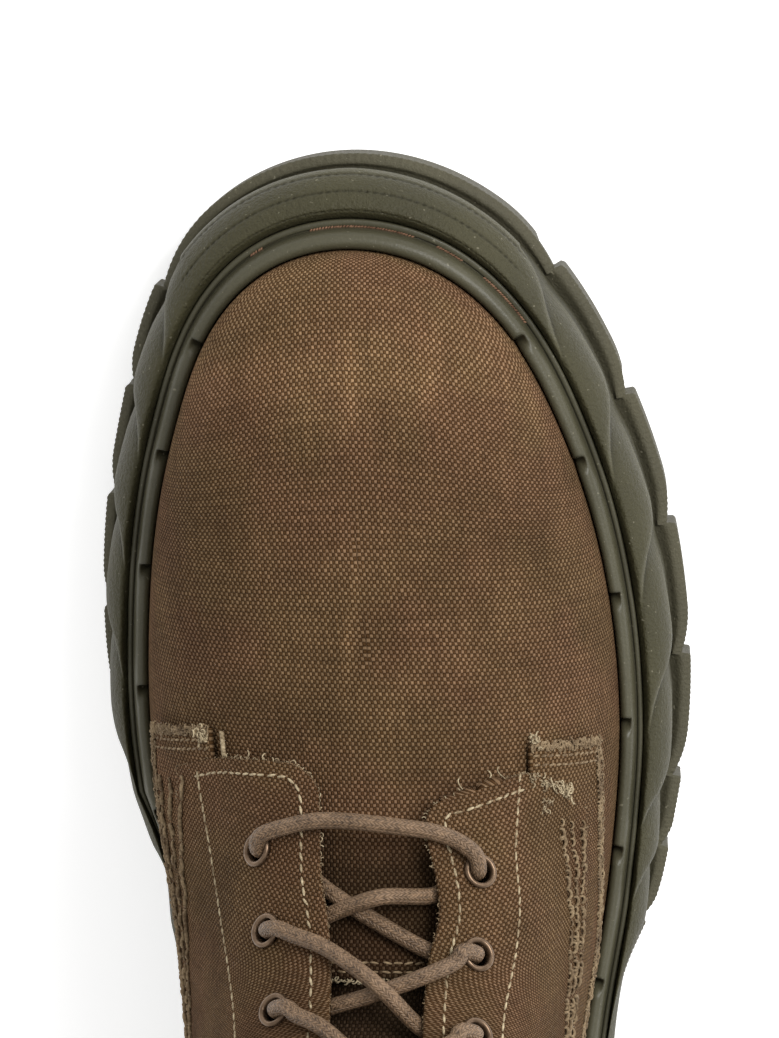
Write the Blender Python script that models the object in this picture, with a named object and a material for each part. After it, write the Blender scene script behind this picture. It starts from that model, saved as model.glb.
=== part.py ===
"""Right canvas derby boot on a lugged rubber sole, standing empty on the floor.

Frame: +X to the outer (lateral) side of the foot, +Y to the toe, +Z up, origin on the floor under
the middle of the boot's box. Sizes and tables are in millimetres, and MM turns them into metres.
A side is +1 for lateral and -1 for medial. A share u runs along each side of the foot, from 0 at
the toe tip to 1 at the back of the heel. A share v runs up the upper, from 0 at the welt's lip to
1 on the ridge over the foot or on the collar's rim.
"""

import math

import bmesh
import bpy
import numpy as np

MM = 0.001
LATERAL, MEDIAL = 1, -1
SIDES = {"lateral": LATERAL, "medial": MEDIAL}

# Driving sizes
WALL = 1.8                  # canvas and lining of the upper
SEAT_GAP = 0.3              # between pieces that touch
OVERLAY_GAP = 0.85          # under the quarters and stays, whose facets differ from the upper's
BAND_DEPTH = 11.0           # how far the upper goes down inside the welt
INSOLE_THICKNESS = 4.0
WELT_WIDTH = 6.2            # lip and strip together, where the sole has room
LIP_SHARE = 0.74            # share of the welt that is the rounded lip
STRIP_DROP = 6.2            # strip below the lip's top
SIDEWALL_DROP = 7.4         # top edge of the scaled sidewall below the lip's top
GROOVE_WIDTH = 0.6          # between the strip and the sidewall
WELT_MARGIN = 1.25          # least of the sole that shows past the welt
TREAD_INSET = 2.6           # valley above the tread, in from the tread's edge, where the sole flares
LUG_TAIL = 1.9              # how far each lug's tail curves in
LUG_DEPTH = 6.0             # depth of the channels between lugs
LUG_REACH = 21.0            # from the tread's edge in to the lug's inner end
SCALE_RISE = 1.7            # how far a scale stands out over the next one
QUARTER_THICKNESS = 1.4
STAY_THICKNESS = 1.1
QUARTER_EDGE = 34.0         # quarter's lower edge above the lip
STAY_EDGE = 20.0            # stay's lower edge above the lip
STAY_LEAD = 6.5             # stay's front edge ahead of the quarter's
STAY_INNER = 29.0           # stay's inner end from the ridge
SEAM_CLEAR = 0.012          # least share u from an overlay's front edge to its next column
FLAP_GAP = 9.6              # from the ridge to each flap's inner edge
FLAP_CORNER = 7.0           # radius of the flap's front corner
CORNER_SHARE = 0.025        # share u that the corner takes
FLAP_LIFT = 3.8             # flap above the vamp, where the lace runs under it
FLAP_SEWN = 36.0            # from the ridge to where the flap is sewn down
FLAP_RAISED = 18.0          # from the ridge to where it has its full lift
THROAT_GAP = 15.0           # from the ridge to the upper's edge under each flap
TONGUE_GAP = 2.4
TONGUE_THICKNESS = 1.8
TONGUE_HALF_WIDTH = 25.0
TONGUE_RISE = 10.0          # above the collar
TONGUE_TUCK = 0.035         # share u that the tongue goes under the vamp
LACE_RADIUS = 1.9
LACE_CLEAR = 0.4
BAR_BOW = 0.010             # share u that the bar bows towards the toe
EYELET_PAIRS = 7
EYELET_PITCH = 17.8
EYELET_RADIUS = 4.0
EYELET_HOLE = 2.4
EYELET_BARREL = 2.75
EYELET_SEAT = 0.65          # flange over the flap, whose facets are flat
EYELET_FLANGE = 0.9
EYELET_DEPTH = 1.9
COLLAR_CENTRE_Y = -92.5
COLLAR_LENGTH = 97.0
COLLAR_WIDTH = 74.0
COLLAR_HEIGHT = 197.0
COLLAR_SQUARE = 2.5         # roundness of its front half, 2 for an ellipse
COLLAR_BACK_RISE = 3.0
COLLAR_SHARE = 0.72         # u of the collar's front
THROAT_SHARE = 0.53         # u where the throat opens
HEEL_SHARE = 0.85           # u past which the sections are the heel's

# The lip line, a row for each section of the foot from the toe to the heel:
# y, medial x, lateral x, lip's height, sole's flare past the upper on each side
FOOT_SECTIONS = (
    (138.6, -8.0, -8.0, 48.0, 17.9, 17.9),
    (134.2, -24.1, 9.7, 47.2, 17.2, 16.9),
    (123.9, -34.8, 22.3, 45.0, 15.9, 15.6),
    (103.9, -43.2, 34.1, 41.4, 14.1, 15.3),
    (83.9, -47.8, 41.4, 39.2, 13.2, 15.6),
    (58.0, -50.1, 46.6, 38.0, 12.1, 15.3),
    (34.0, -49.5, 47.9, 38.0, 9.0, 14.2),
    (12.9, -46.2, 46.5, 38.6, 5.3, 12.4),
    (-2.0, -43.6, 44.8, 39.4, 4.4, 10.8),
    (-16.0, -41.9, 42.5, 40.5, 4.4, 7.3),
    (-36.0, -39.6, 39.7, 42.5, 4.8, 6.5),
    (-62.0, -36.8, 37.2, 45.6, 6.4, 7.2),
    (-95.0, -35.6, 35.2, 49.0, 8.8, 9.0),
    (-122.0, -31.4, 30.4, 51.2, 9.4, 9.4),
    (-140.0, -19.5, 18.2, 52.2, 9.5, 9.5),
    (-147.5, -0.8, -0.8, 52.5, 9.5, 9.5),
)

# The ridge over the foot, a row for each section from the toe to the collar's front:
# share u, x, y, z, rise and lean of the side at the lip, reach and sweep of the section at the top,
# and how far the side follows the section's top forward. A sweep of 90 degrees leaves the ridge
# along it, towards the toe, and 0 leaves it sideways.
RIDGE_SECTIONS = (
    (0.00, -6.0, 108.0, 76.0, 19.0, 0.02, 20.0, 90.0, 0.00),
    (0.08, -5.6, 103.0, 77.6, 20.0, 0.02, 22.0, 52.0, 0.00),
    (0.16, -4.9, 93.0, 80.4, 23.0, 0.00, 25.0, 20.0, 0.00),
    (0.24, -3.6, 79.0, 84.8, 26.0, -0.04, 28.0, 5.0, 0.00),
    (0.32, -1.2, 61.0, 91.0, 29.0, -0.08, 29.0, 0.0, 0.00),
    (0.40, 1.6, 39.0, 100.8, 35.0, -0.10, 28.0, 0.0, 0.05),
    (0.48, 2.9, 15.0, 114.6, 45.0, -0.11, 27.0, 0.0, 0.20),
    (0.55, 3.0, -7.0, 130.4, 58.0, -0.11, 26.0, 0.0, 0.40),
    (0.61, 2.3, -24.0, 147.4, 74.0, -0.10, 25.0, 0.0, 0.60),
    (0.66, 1.3, -35.0, 166.0, 91.0, -0.08, 25.0, 3.0, 0.70),
    (0.70, 0.4, -41.5, 185.0, 109.0, -0.05, 26.0, 8.0, 0.72),
    (0.72, 0.0, -44.0, 197.0, 120.0, -0.04, 27.0, 12.0, 0.72),
)

# The collar's rim, a row for each section from its front to its back:
# share u, rise, lean, reach, sweep, follow, and how far the shaft tucks in below the rim
RIM_SECTIONS = (
    (0.72, 120.0, -0.04, 27.0, 12.0, 0.72, -0.10),
    (0.74, 109.0, -0.05, 28.0, 34.0, 0.68, 0.06),
    (0.77, 95.0, -0.05, 34.0, 62.0, 0.60, 0.14),
    (0.82, 76.0, -0.02, 48.0, 88.0, 0.46, 0.16),
    (0.90, 58.0, 0.05, 58.0, 90.0, 0.20, 0.15),
    (1.00, 48.0, 0.10, 60.0, 90.0, 0.00, 0.16),
)

# The sole's levels along the foot: y, underside of the tread, top of the tread
SOLE_LEVELS = (
    (157.0, 13.5, 26.0),
    (140.0, 7.0, 20.0),
    (122.0, 2.2, 15.6),
    (100.0, 0.0, 13.2),
    (40.0, 0.0, 12.8),
    (-6.0, 0.0, 13.5),
    (-13.0, 11.5, 14.5),
    (-30.0, 13.5, 17.0),
    (-52.0, 13.0, 20.0),
    (-57.0, 0.0, 20.5),
    (-100.0, 0.0, 22.0),
    (-145.0, 0.0, 22.5),
    (-157.0, 3.0, 22.5),
)

# Front end of each lug on the lip line, from the toe: y on the medial side, y on the lateral side
LUG_FRONTS = (
    (120.6, 123.0),
    (102.5, 99.6),
    (81.0, 74.3),
    (58.2, 48.6),
    (34.3, 24.0),
    (11.5, 9.0),
)
TREAD_END = -7.0
HEEL_LUG_FRONTS = (-57.0, -82.0, -107.0, -131.0)
ARCH_STATIONS = (-13.0, -22.0, -34.0, -45.0, -52.0)

# Places of the sole's stations along a lug, from 0 at its front to 1 at the next lug's front
LUG_PLACES = (0.0, 0.42, 0.80, 0.85, 0.98)
TOE_LUG_PLACES = (0.0, 0.18, 0.36, 0.54, 0.70, 0.82, 0.86, 0.98)
HEEL_LUG_PLACES = (0.0, 0.3, 0.6, 0.8, 1.0)
CHANNEL_PLACE = 0.85        # from here on the station is in the channel behind the lug

# The upper's columns on each side: share u where a span starts, and columns in it
COLUMN_SPANS = ((0.0, 6), (0.15, 6), (0.52, 5), (0.64, 4), (0.72, 6), (0.84, 4))

# Eyelets' distance from the ridge on each side, from the first pair up, and the first one's y
EYELET_WIDTHS = {
    MEDIAL: (21.3, 19.2, 17.0, 16.4, 16.2, 16.2, 16.2),
    LATERAL: (16.2, 15.6, 15.6, 15.8, 16.0, 16.2, 16.2),
}
FIRST_EYELET_Y = {MEDIAL: 25.7, LATERAL: 21.3}

# Front edge of each quarter: y at its lower edge, at its middle and at its inner corner
QUARTER_FRONTS = {MEDIAL: (32.5, 34.0, 32.0), LATERAL: (25.5, 33.0, 27.0)}


def smooth_row(rows, share):
    """Columns of a table at a share between its rows, on a smooth curve through them."""
    rows = np.array(rows, float)
    knots, columns = rows[:, 0], rows[:, 1:]
    slopes = np.gradient(columns, knots, axis=0)
    share = np.clip(np.asarray(share, float), knots[0], knots[-1])
    i = np.clip(np.searchsorted(knots, share, side="right") - 1, 0, len(knots) - 2)
    span = (knots[i + 1] - knots[i])[..., None]
    t = ((share - knots[i]))[..., None] / span
    start, end = columns[i], columns[i + 1]
    return (
        (1 + 2 * t) * (1 - t) ** 2 * start
        + t * (1 - t) ** 2 * span * slopes[i]
        + t * t * (3 - 2 * t) * end
        + t * t * (t - 1) * span * slopes[i + 1]
    )


def closed_spline(rows, steps):
    """Rows sampled along the smooth closed curve through them, with steps samples from row to row."""
    rows = np.array(rows, float)
    count = len(rows)
    following = np.roll(rows, -1, axis=0)
    chord = np.linalg.norm((following - rows)[:, :2], axis=1)
    before = np.roll(chord, 1)
    system = np.zeros((count, count))
    index = np.arange(count)
    system[index, (index - 1) % count] = before
    system[index, index] = 2 * (before + chord)
    system[index, (index + 1) % count] = chord
    slope = (following - rows) / chord[:, None]
    bend = np.linalg.solve(system, 6 * (slope - np.roll(slope, 1, axis=0)))
    next_bend = np.roll(bend, -1, axis=0)
    samples = []
    for t in np.arange(steps) / steps:
        far, near = t**3 - t, (1 - t) ** 3 - (1 - t)
        curve = (far * next_bend + near * bend) * chord[:, None] ** 2 / 6
        samples.append((1 - t) * rows + t * following + curve)
    return np.stack(samples, axis=1).reshape(count * steps, -1)


def make_lip_line():
    """Each side's samples along the lip line: share u, x, y, outward normal, lip's height, flare."""
    steps = 40
    lateral = [(row[2], row[0], row[3], row[5]) for row in FOOT_SECTIONS]
    medial = [(row[1], row[0], row[3], row[4]) for row in FOOT_SECTIONS[-2:0:-1]]
    loop = closed_spline(lateral + medial, steps)
    tangent = np.roll(loop, -1, axis=0)[:, :2] - np.roll(loop, 1, axis=0)[:, :2]
    normal = np.stack([-tangent[:, 1], tangent[:, 0]], axis=1)
    normal /= np.linalg.norm(normal, axis=1)[:, None]
    samples = np.hstack([loop[:, :2], normal, loop[:, 2:]])
    heel = (len(FOOT_SECTIONS) - 1) * steps
    paths = {LATERAL: samples[: heel + 1], MEDIAL: np.vstack([samples[heel:], samples[:1]])[::-1]}
    lines = {}
    for side, path in paths.items():
        lengths = np.linalg.norm(np.diff(path[:, :2], axis=0), axis=1)
        share = np.concatenate([[0], np.cumsum(lengths)]) / lengths.sum()
        lines[side] = (share, path)
    return lines


LIP_LINE = make_lip_line()


def foot_line(side, u):
    """Point on the lip line, its outward normal, the lip's height and the sole's flare there."""
    share, path = LIP_LINE[side]
    columns = np.stack([np.interp(u, share, path[:, k]) for k in range(path.shape[1])], axis=-1)
    normal = columns[..., 2:4]
    normal = normal / np.linalg.norm(normal, axis=-1, keepdims=True)
    return columns[..., :2], normal, columns[..., 4], columns[..., 5]


def share_at(side, y):
    """Share u of the lip line's point at a given y."""
    share, path = LIP_LINE[side]
    return float(np.interp(-y, -path[:, 1], share))


def ridge_line(u):
    """Point on the ridge and the unit direction along it towards the toe."""
    step = 1e-4
    u = np.clip(u, 0, COLLAR_SHARE)
    point = smooth_row(RIDGE_SECTIONS, u)[..., :3]
    along = smooth_row(RIDGE_SECTIONS, np.clip(u - step, 0, 1))[..., :3]
    along = along - smooth_row(RIDGE_SECTIONS, np.clip(u + step, 0, COLLAR_SHARE))[..., :3]
    return point, along / np.linalg.norm(along, axis=-1, keepdims=True)


def top_line(side, u):
    """Where each section ends at the top, its handle there, and its rise, lean and follow at the lip."""
    ridge = smooth_row(RIDGE_SECTIONS, np.clip(u, 0, COLLAR_SHARE))
    ridge_point, toeward = ridge_line(u)
    rim = smooth_row(RIM_SECTIONS, np.clip(u, COLLAR_SHARE, 1))
    back = np.clip((u - COLLAR_SHARE) / (1 - COLLAR_SHARE), 0, 1)
    turn = math.pi * back
    outward = np.stack([side * np.sin(turn), np.cos(turn), 0 * turn], axis=-1)
    square = np.where(back < 0.5, 2 / COLLAR_SQUARE, 1.0)
    across = np.abs(np.sin(turn)) ** square * side * COLLAR_WIDTH / 2
    forward = np.sign(np.cos(turn)) * np.abs(np.cos(turn)) ** square * COLLAR_LENGTH / 2
    height = COLLAR_HEIGHT + COLLAR_BACK_RISE * back
    rim_point = np.stack([across, COLLAR_CENTRE_Y + forward, height], axis=-1)
    down = -rim[..., 5:6] * outward + (0, 0, -1)
    on_ridge = (u <= COLLAR_SHARE)[..., None]
    point = np.where(on_ridge, ridge_point, rim_point)
    along = np.where(on_ridge, toeward, down)
    shape = np.where(on_ridge, ridge[..., 3:8], rim[..., :5])
    rise, lean, reach, sweep, follow = np.moveaxis(shape, -1, 0)
    sweep = np.radians(sweep)[..., None]
    sideways = np.array([side, 0.0, 0.0])
    handle = reach[..., None] * (np.cos(sweep) * sideways + np.sin(sweep) * along)
    return point, handle, rise, lean, follow


def upper_surface(side, u, v):
    """Point on the upper's outer face, on a cubic curve from the lip line to the top line."""
    u, v = np.broadcast_arrays(np.asarray(u, float), np.asarray(v, float))
    place, outward, lip, _ = foot_line(side, u)
    top, handle, rise, lean, follow = top_line(side, u)
    foot = np.concatenate([place, lip[..., None]], axis=-1)
    lift = np.concatenate([outward * lean[..., None], np.ones(u.shape + (1,))], axis=-1)
    first = foot + lift * rise[..., None]
    first[..., 1] += follow * (top - foot)[..., 1]
    second = top + handle
    v = v[..., None]
    return (1 - v) ** 3 * foot + 3 * v * (1 - v) ** 2 * first + 3 * v * v * (1 - v) * second + v**3 * top


def side_normal(side, u, v):
    step = 1e-3
    low_u, high_u = np.clip(u - step, 0, 1), np.clip(u + step, 0, 1)
    low_v, high_v = np.clip(v - step, 0, 1), np.clip(v + step, 0, 1)
    along = upper_surface(side, high_u, v) - upper_surface(side, low_u, v)
    up = upper_surface(side, u, high_v) - upper_surface(side, u, low_v)
    normal = side * np.cross(up, along)
    return normal / np.linalg.norm(normal, axis=-1, keepdims=True)


def upper_normal(side, u, v):
    """Outward normal of the upper, shared by both sides where they meet."""
    u, v = np.broadcast_arrays(np.asarray(u, float), np.asarray(v, float))
    below = np.where(u <= COLLAR_SHARE, np.minimum(v, 0.995), v)
    normal = side_normal(side, u, below)
    centred = normal + side_normal(-side, u, below) * ((u <= 0) | (u >= 1))[..., None]
    over_ridge = np.cross((1.0, 0.0, 0.0), ridge_line(u)[1])
    on_ridge = (v >= 1) & (u <= COLLAR_SHARE)
    shared = np.where(on_ridge[..., None], over_ridge, centred)
    return shared / np.linalg.norm(shared, axis=-1, keepdims=True)


def offset_point(side, u, v, height):
    """Point at a height over the upper's outer face."""
    height = np.asarray(height, float)[..., None]
    return upper_surface(side, u, v) + upper_normal(side, u, v) * height


def share_at_width(side, u, width):
    """Share v where the section at u comes within a width of the ridge, or 1 where it never does."""
    if u > HEEL_SHARE:
        return 1.0
    v = np.linspace(0.3, 1, 281)
    off = np.abs(upper_surface(side, np.full(v.shape, u), v)[:, 0] - float(ridge_line(np.float64(u))[0][0]))
    inside = np.nonzero(off < width)[0]
    if len(inside) == 0 or off[-1] >= width:
        return 1.0
    last = inside[0]
    if last == 0:
        return float(v[0])
    return float(np.interp(width, [off[last], off[last - 1]], [v[last], v[last - 1]]))


def share_at_rise(side, u, rise):
    """Share v where the section at u stands a given height over the lip."""
    v = np.linspace(0, 0.8, 161)
    heights = upper_surface(side, np.full(v.shape, u), v)[:, 2]
    return float(np.interp(rise, heights - heights[0], v))


def make_object(name, bm, colour, roughness, metallic=0.0):
    """A named object from a mesh in millimetres, with its own material."""
    bmesh.ops.recalc_face_normals(bm, faces=bm.faces)
    bmesh.ops.scale(bm, vec=(MM, MM, MM), verts=bm.verts)
    mesh = bpy.data.meshes.new(name)
    bm.to_mesh(mesh)
    bm.free()
    mesh.shade_smooth()
    mesh.set_sharp_from_angle(angle=math.radians(40))
    material = bpy.data.materials.new(name)
    material.use_nodes = True
    shader = material.node_tree.nodes["Principled BSDF"]
    shader.inputs["Base Color"].default_value = (*colour, 1.0)
    shader.inputs["Roughness"].default_value = roughness
    shader.inputs["Metallic"].default_value = metallic
    mesh.materials.append(material)
    part = bpy.data.objects.new(name, mesh)
    bpy.context.scene.collection.objects.link(part)
    return part


def add_grid(bm, points, flip=False):
    """Quads over a grid of points, given as rows of columns."""
    grid = [[bm.verts.new(point) for point in row] for row in points]
    for low, high in zip(grid, grid[1:]):
        for k in range(len(low) - 1):
            corners = (low[k], low[k + 1], high[k + 1], high[k])
            bm.faces.new(corners[::-1] if flip else corners)
    return grid


def add_sheet(bm, outer, inner):
    """A closed sheet between two grids of points of the same size."""
    top = add_grid(bm, outer)
    bottom = add_grid(bm, inner, flip=True)

    def border(grid):
        right = [row[-1] for row in grid[1:-1]]
        left = [row[0] for row in grid[-2:0:-1]]
        return grid[0] + right + grid[-1][::-1] + left

    upper_edge, lower_edge = border(top), border(bottom)
    for k in range(len(upper_edge)):
        j = (k + 1) % len(upper_edge)
        bm.faces.new((upper_edge[j], upper_edge[k], lower_edge[k], lower_edge[j]))


RUBBER = (0.095, 0.095, 0.066)
TREAD_RUBBER = (0.088, 0.088, 0.062)
CANVAS = (0.150, 0.092, 0.052)
LINING = (0.110, 0.078, 0.050)
LACE_CORD = (0.165, 0.130, 0.092)
EYELET_PAINT = (0.115, 0.072, 0.042)


# The sole

def sole_level(y):
    """Underside and top of the tread at a given y, in straight runs."""
    levels = np.array(SOLE_LEVELS)[::-1]
    return float(np.interp(y, levels[:, 0], levels[:, 1])), float(np.interp(y, levels[:, 0], levels[:, 2]))


def lug_stations(side):
    """Stations along one side of the sole: share u, place along its lug, and whether in a channel.

    The place runs from 0 at the lug's front to 1 at the next lug's, and is None under the arch,
    where the sole has no lugs.
    """
    column = 0 if side == MEDIAL else 1
    fronts = [0.0] + [share_at(side, row[column]) for row in LUG_FRONTS] + [share_at(side, TREAD_END)]
    heel = [share_at(side, y) for y in HEEL_LUG_FRONTS] + [1.0]
    stations = []
    for k, (front, back) in enumerate(zip(fronts, fronts[1:])):
        places = TOE_LUG_PLACES if k == 0 else LUG_PLACES
        stations += [(front + (back - front) * p, p, p >= CHANNEL_PLACE) for p in places]
    stations.append((fronts[-1], 1.0, True))
    stations += [(share_at(side, y), None, False) for y in ARCH_STATIONS]
    for front, back in zip(heel, heel[1:]):
        if back < 1:
            stations += [(front + (back - front) * p, p, p >= CHANNEL_PLACE) for p in LUG_PLACES]
        else:
            stations += [(front + (back - front) * p, min(p, 0.8), False) for p in HEEL_LUG_PLACES]
    return stations


def lug_edge(place):
    """How far the tread's edge is in from the sole's outline at a place along a lug."""
    if place is None:
        return 0.0
    return LUG_TAIL * np.clip((place - 0.62) / 0.38, 0, 1) ** 2


def scale_edge(place):
    """How far out a scale's rim stands at a place along it, as a share of the sidewall's width."""
    if place is None:
        return 0.86
    return 0.62 + 0.36 * math.sin(math.pi * min(1.0, 0.04 + 0.68 * place))


def welt_width(flare):
    """Width of the welt where the sole flares by a given amount."""
    return min(WELT_WIDTH, flare - WELT_MARGIN)


def valley_inset(flare):
    """How far the valley over the tread is in from the sole's outline, least at the waist."""
    return TREAD_INSET * min(1.0, max(0.1, (flare - 6.5) / 5.0))


def sole_loop(profile):
    """Two sides of stations, each a list of loops of points, closed round the toe and the heel."""
    sides = []
    for side in (LATERAL, MEDIAL):
        rows = []
        for u, place, channel in lug_stations(side):
            point, outward, lip, flare = foot_line(side, np.float64(u))
            rows.append([
                (*(point + outward * reach), height)
                for reach, height in profile(point, outward, float(lip), float(flare), place, channel)
            ])
        sides.append(rows)
    return sides


def close_sole(bm, sides):
    """Skin the loops round both sides, and close their tops and undersides across the foot."""
    lateral, medial = sides
    ring = lateral[:-1] + medial[::-1][:-1]
    verts = [[bm.verts.new(point) for point in row] for row in ring]
    for k, row in enumerate(verts):
        following = verts[(k + 1) % len(verts)]
        for j in range(len(row) - 1):
            bm.faces.new((row[j], following[j], following[j + 1], row[j + 1]))
    count = len(lateral)
    pairs = [(k, (len(verts) - k) % len(verts)) for k in range(count - 1)] + [(count - 1, count - 1)]
    for level in (0, -1):
        for (a, b), (c, d) in zip(pairs, pairs[1:]):
            corners = [verts[a][level], verts[c][level], verts[d][level], verts[b][level]]
            bm.faces.new(list(dict.fromkeys(corners)))


def outsole_profile(point, outward, lip, flare, place, channel):
    edge = flare - lug_edge(place)
    under, top = sole_level(point[1] + outward[1] * flare)
    floor = under + (LUG_DEPTH if channel else 0.0)
    middle = under + (LUG_DEPTH / 2 if place is not None else 0.0)
    return (
        (flare - valley_inset(flare) - 0.6, top),
        (edge, top - 1.2),
        (edge - 0.3, floor + 1.2),
        (edge - 1.4, floor),
        (flare - LUG_REACH, floor),
        (flare - LUG_REACH - 2.0, middle),
    )


def midsole_profile(point, outward, lip, flare, place, channel):
    _, top = sole_level(point[1] + outward[1] * flare)
    inner = welt_width(flare) + GROOVE_WIDTH
    outer = flare - valley_inset(flare)
    shelf = lip - SIDEWALL_DROP
    base = top + SEAT_GAP
    rim = inner + (outer - inner) * scale_edge(place)
    rim_height = base + 0.42 * (shelf - base)
    return (
        (inner - 0.2, lip - BAND_DEPTH - SEAT_GAP),
        (inner, shelf),
        (inner + 0.5 * (rim - inner), shelf - 0.22 * (shelf - rim_height)),
        (rim, rim_height),
        (rim - min(0.5 * SCALE_RISE, 0.3 * (outer - inner)), base + 0.16 * (shelf - base)),
        (outer - 0.3, base),
    )


def build_outsole():
    bm = bmesh.new()
    close_sole(bm, sole_loop(outsole_profile))
    return make_object("outsole", bm, TREAD_RUBBER, 0.75)


def build_midsole():
    bm = bmesh.new()
    close_sole(bm, sole_loop(midsole_profile))
    return make_object("midsole", bm, RUBBER, 0.65)


def upper_shares():
    """Shares u of the upper's columns on each side, closer together where it bends."""
    ends = [start for start, _ in COLUMN_SPANS[1:]] + [1.0]
    shares = []
    for (start, count), end in zip(COLUMN_SPANS, ends):
        shares += list(np.linspace(start, end, count, endpoint=False))
    return np.array(shares + [1.0])


def column_ring():
    """Every column round the foot once: side and share u."""
    shares = upper_shares()
    return [(LATERAL, u) for u in shares[:-1]] + [(MEDIAL, u) for u in shares[:0:-1]]


def foot_ring(profile):
    """Loops of points round the foot from a profile of reach past the lip line and height."""
    ring = []
    for side, u in column_ring():
        point, outward, lip, flare = foot_line(side, np.float64(u))
        rows = profile(float(lip), float(flare))
        ring.append([(*(point + outward * reach), height) for reach, height in rows])
    return ring


def build_welt():
    """The ring round the upper's foot: a flat strip outside and a rounded lip against the canvas."""

    def profile(lip, flare):
        width = welt_width(flare)
        lip_width = LIP_SHARE * width
        base = lip - BAND_DEPTH
        return (
            (SEAT_GAP, base),
            (width, base),
            (width, lip - STRIP_DROP),
            (lip_width, lip - STRIP_DROP + 0.6),
            (0.92 * lip_width, lip - 2.0),
            (0.5 * lip_width, lip),
            (SEAT_GAP, lip - 0.8),
        )

    bm = bmesh.new()
    rows = [[bm.verts.new(point) for point in row] for row in foot_ring(profile)]
    for k, row in enumerate(rows):
        following = rows[(k + 1) % len(rows)]
        for j in range(len(row)):
            i = (j + 1) % len(row)
            bm.faces.new((row[j], following[j], following[i], row[i]))
    return make_object("welt", bm, RUBBER, 0.6)


def build_insole():
    inset = -(WALL + 0.4)

    def profile(lip, flare):
        base = lip - BAND_DEPTH + SEAT_GAP
        return ((inset, base + INSOLE_THICKNESS), (inset, base))

    rows = foot_ring(profile)
    half = len(rows) // 2
    lateral = rows[: half + 1]
    medial = [rows[0]] + rows[:half - 1:-1]
    bm = bmesh.new()
    close_sole(bm, (lateral, medial))
    return make_object("insole", bm, LINING, 0.9)


# The upper

def build_upper():
    """Vamp and shaft in one wall, open at the throat, at the collar and underneath."""
    rows = 9
    bm = bmesh.new()
    columns = []
    for side, u in column_ring():
        point, outward, lip, _ = foot_line(side, np.float64(u))
        edge = share_at_width(side, u, THROAT_GAP) if u > THROAT_SHARE else 1.0
        v = np.linspace(0, edge, rows)
        base = lip - BAND_DEPTH
        column = []
        for inset in (0.0, WALL):
            foot = (*(point - outward * inset), base)
            wall = offset_point(side, np.full(rows, u), v, np.full(rows, -inset))
            column.append([foot, *map(tuple, wall)])
        columns.append([[bm.verts.new(p) for p in face] for face in column])
    for k, (outer, inner) in enumerate(columns):
        next_outer, next_inner = columns[(k + 1) % len(columns)]
        for j in range(rows):
            bm.faces.new((outer[j], next_outer[j], next_outer[j + 1], outer[j + 1]))
            bm.faces.new((inner[j + 1], next_inner[j + 1], next_inner[j], inner[j]))
        bm.faces.new((inner[0], next_inner[0], next_outer[0], outer[0]))
    count = len(columns)
    shares = upper_shares()
    joined = [k for k in range(1, len(shares) - 1) if shares[k] <= THROAT_SHARE]
    welded = {}
    for k in joined:
        for face in (0, 1):
            welded[columns[count - k][face][rows]] = columns[k][face][rows]
    bmesh.ops.weld_verts(bm, targetmap=welded)
    for k in range(count):
        j = (k + 1) % count
        side, u = column_ring()[k]
        _, next_u = column_ring()[j]
        if max(u, next_u) <= THROAT_SHARE:
            continue
        (outer, inner), (next_outer, next_inner) = columns[k], columns[j]
        corners = [
            welded.get(vert, vert)
            for vert in (outer[rows], next_outer[rows], next_inner[rows], inner[rows])
        ]
        bm.faces.new(corners)
    return make_object("upper", bm, CANVAS, 0.95)


def quarter_front(side, w):
    """Share u of the quarter's front edge at a share w from its lower to its inner edge."""
    low, middle, corner = QUARTER_FRONTS[side]
    rows = [(0.0, share_at(side, low)), (0.5, share_at(side, middle)), (1.0, share_at(side, corner))]
    return float(smooth_row(rows, w)[0])


def flap_edge(side, u):
    """Share v of the quarter's inner edge or collar edge, with its front corner rounded off."""
    ahead = np.clip((quarter_front(side, 1.0) + CORNER_SHARE - u) / CORNER_SHARE, 0, 1)
    width = FLAP_GAP + FLAP_CORNER * (1 - math.sqrt(1 - ahead**2))
    return share_at_width(side, u, width)


def flap_lift(side, u, v):
    """How far the quarter stands off the upper, from its sewn line to its free inner edge."""
    point = upper_surface(side, u, v)
    width = np.abs(point[..., 0] - ridge_line(u)[0][..., 0])
    free = np.clip((FLAP_SEWN - width) / (FLAP_SEWN - FLAP_RAISED), 0, 1)
    on_front = np.clip((COLLAR_SHARE + 0.12 - u) / 0.10, 0, 1)
    return OVERLAY_GAP + FLAP_LIFT * free * free * (3 - 2 * free) * on_front


def quarter_point(side, u, v, height):
    """Point at a height over the quarter's inner face."""
    return offset_point(side, u, v, flap_lift(side, u, v) + height)


def eyelet_share(side, pair):
    """Share u of an eyelet, evenly spaced along the ridge."""
    u = np.linspace(0, COLLAR_SHARE, 1441)
    line = ridge_line(u)[0]
    along = np.concatenate([[0], np.cumsum(np.linalg.norm(np.diff(line, axis=0), axis=1))])
    first = np.interp(-FIRST_EYELET_Y[side], -line[:, 1], along)
    return float(np.interp(first + pair * EYELET_PITCH, along, u))


def eyelet_frame(side, pair):
    """Centre of an eyelet on the quarter's outer face, with the face's normal."""
    u = np.float64(eyelet_share(side, pair))
    v = np.float64(share_at_width(side, u, EYELET_WIDTHS[side][pair]))
    step = 4e-3

    def face(du, dv):
        return quarter_point(side, u + du, v + dv, np.float64(QUARTER_THICKNESS))

    normal = side * np.cross(face(0, step) - face(0, -step), face(step, 0) - face(-step, 0))
    return face(0, 0), normal / np.linalg.norm(normal)


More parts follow.
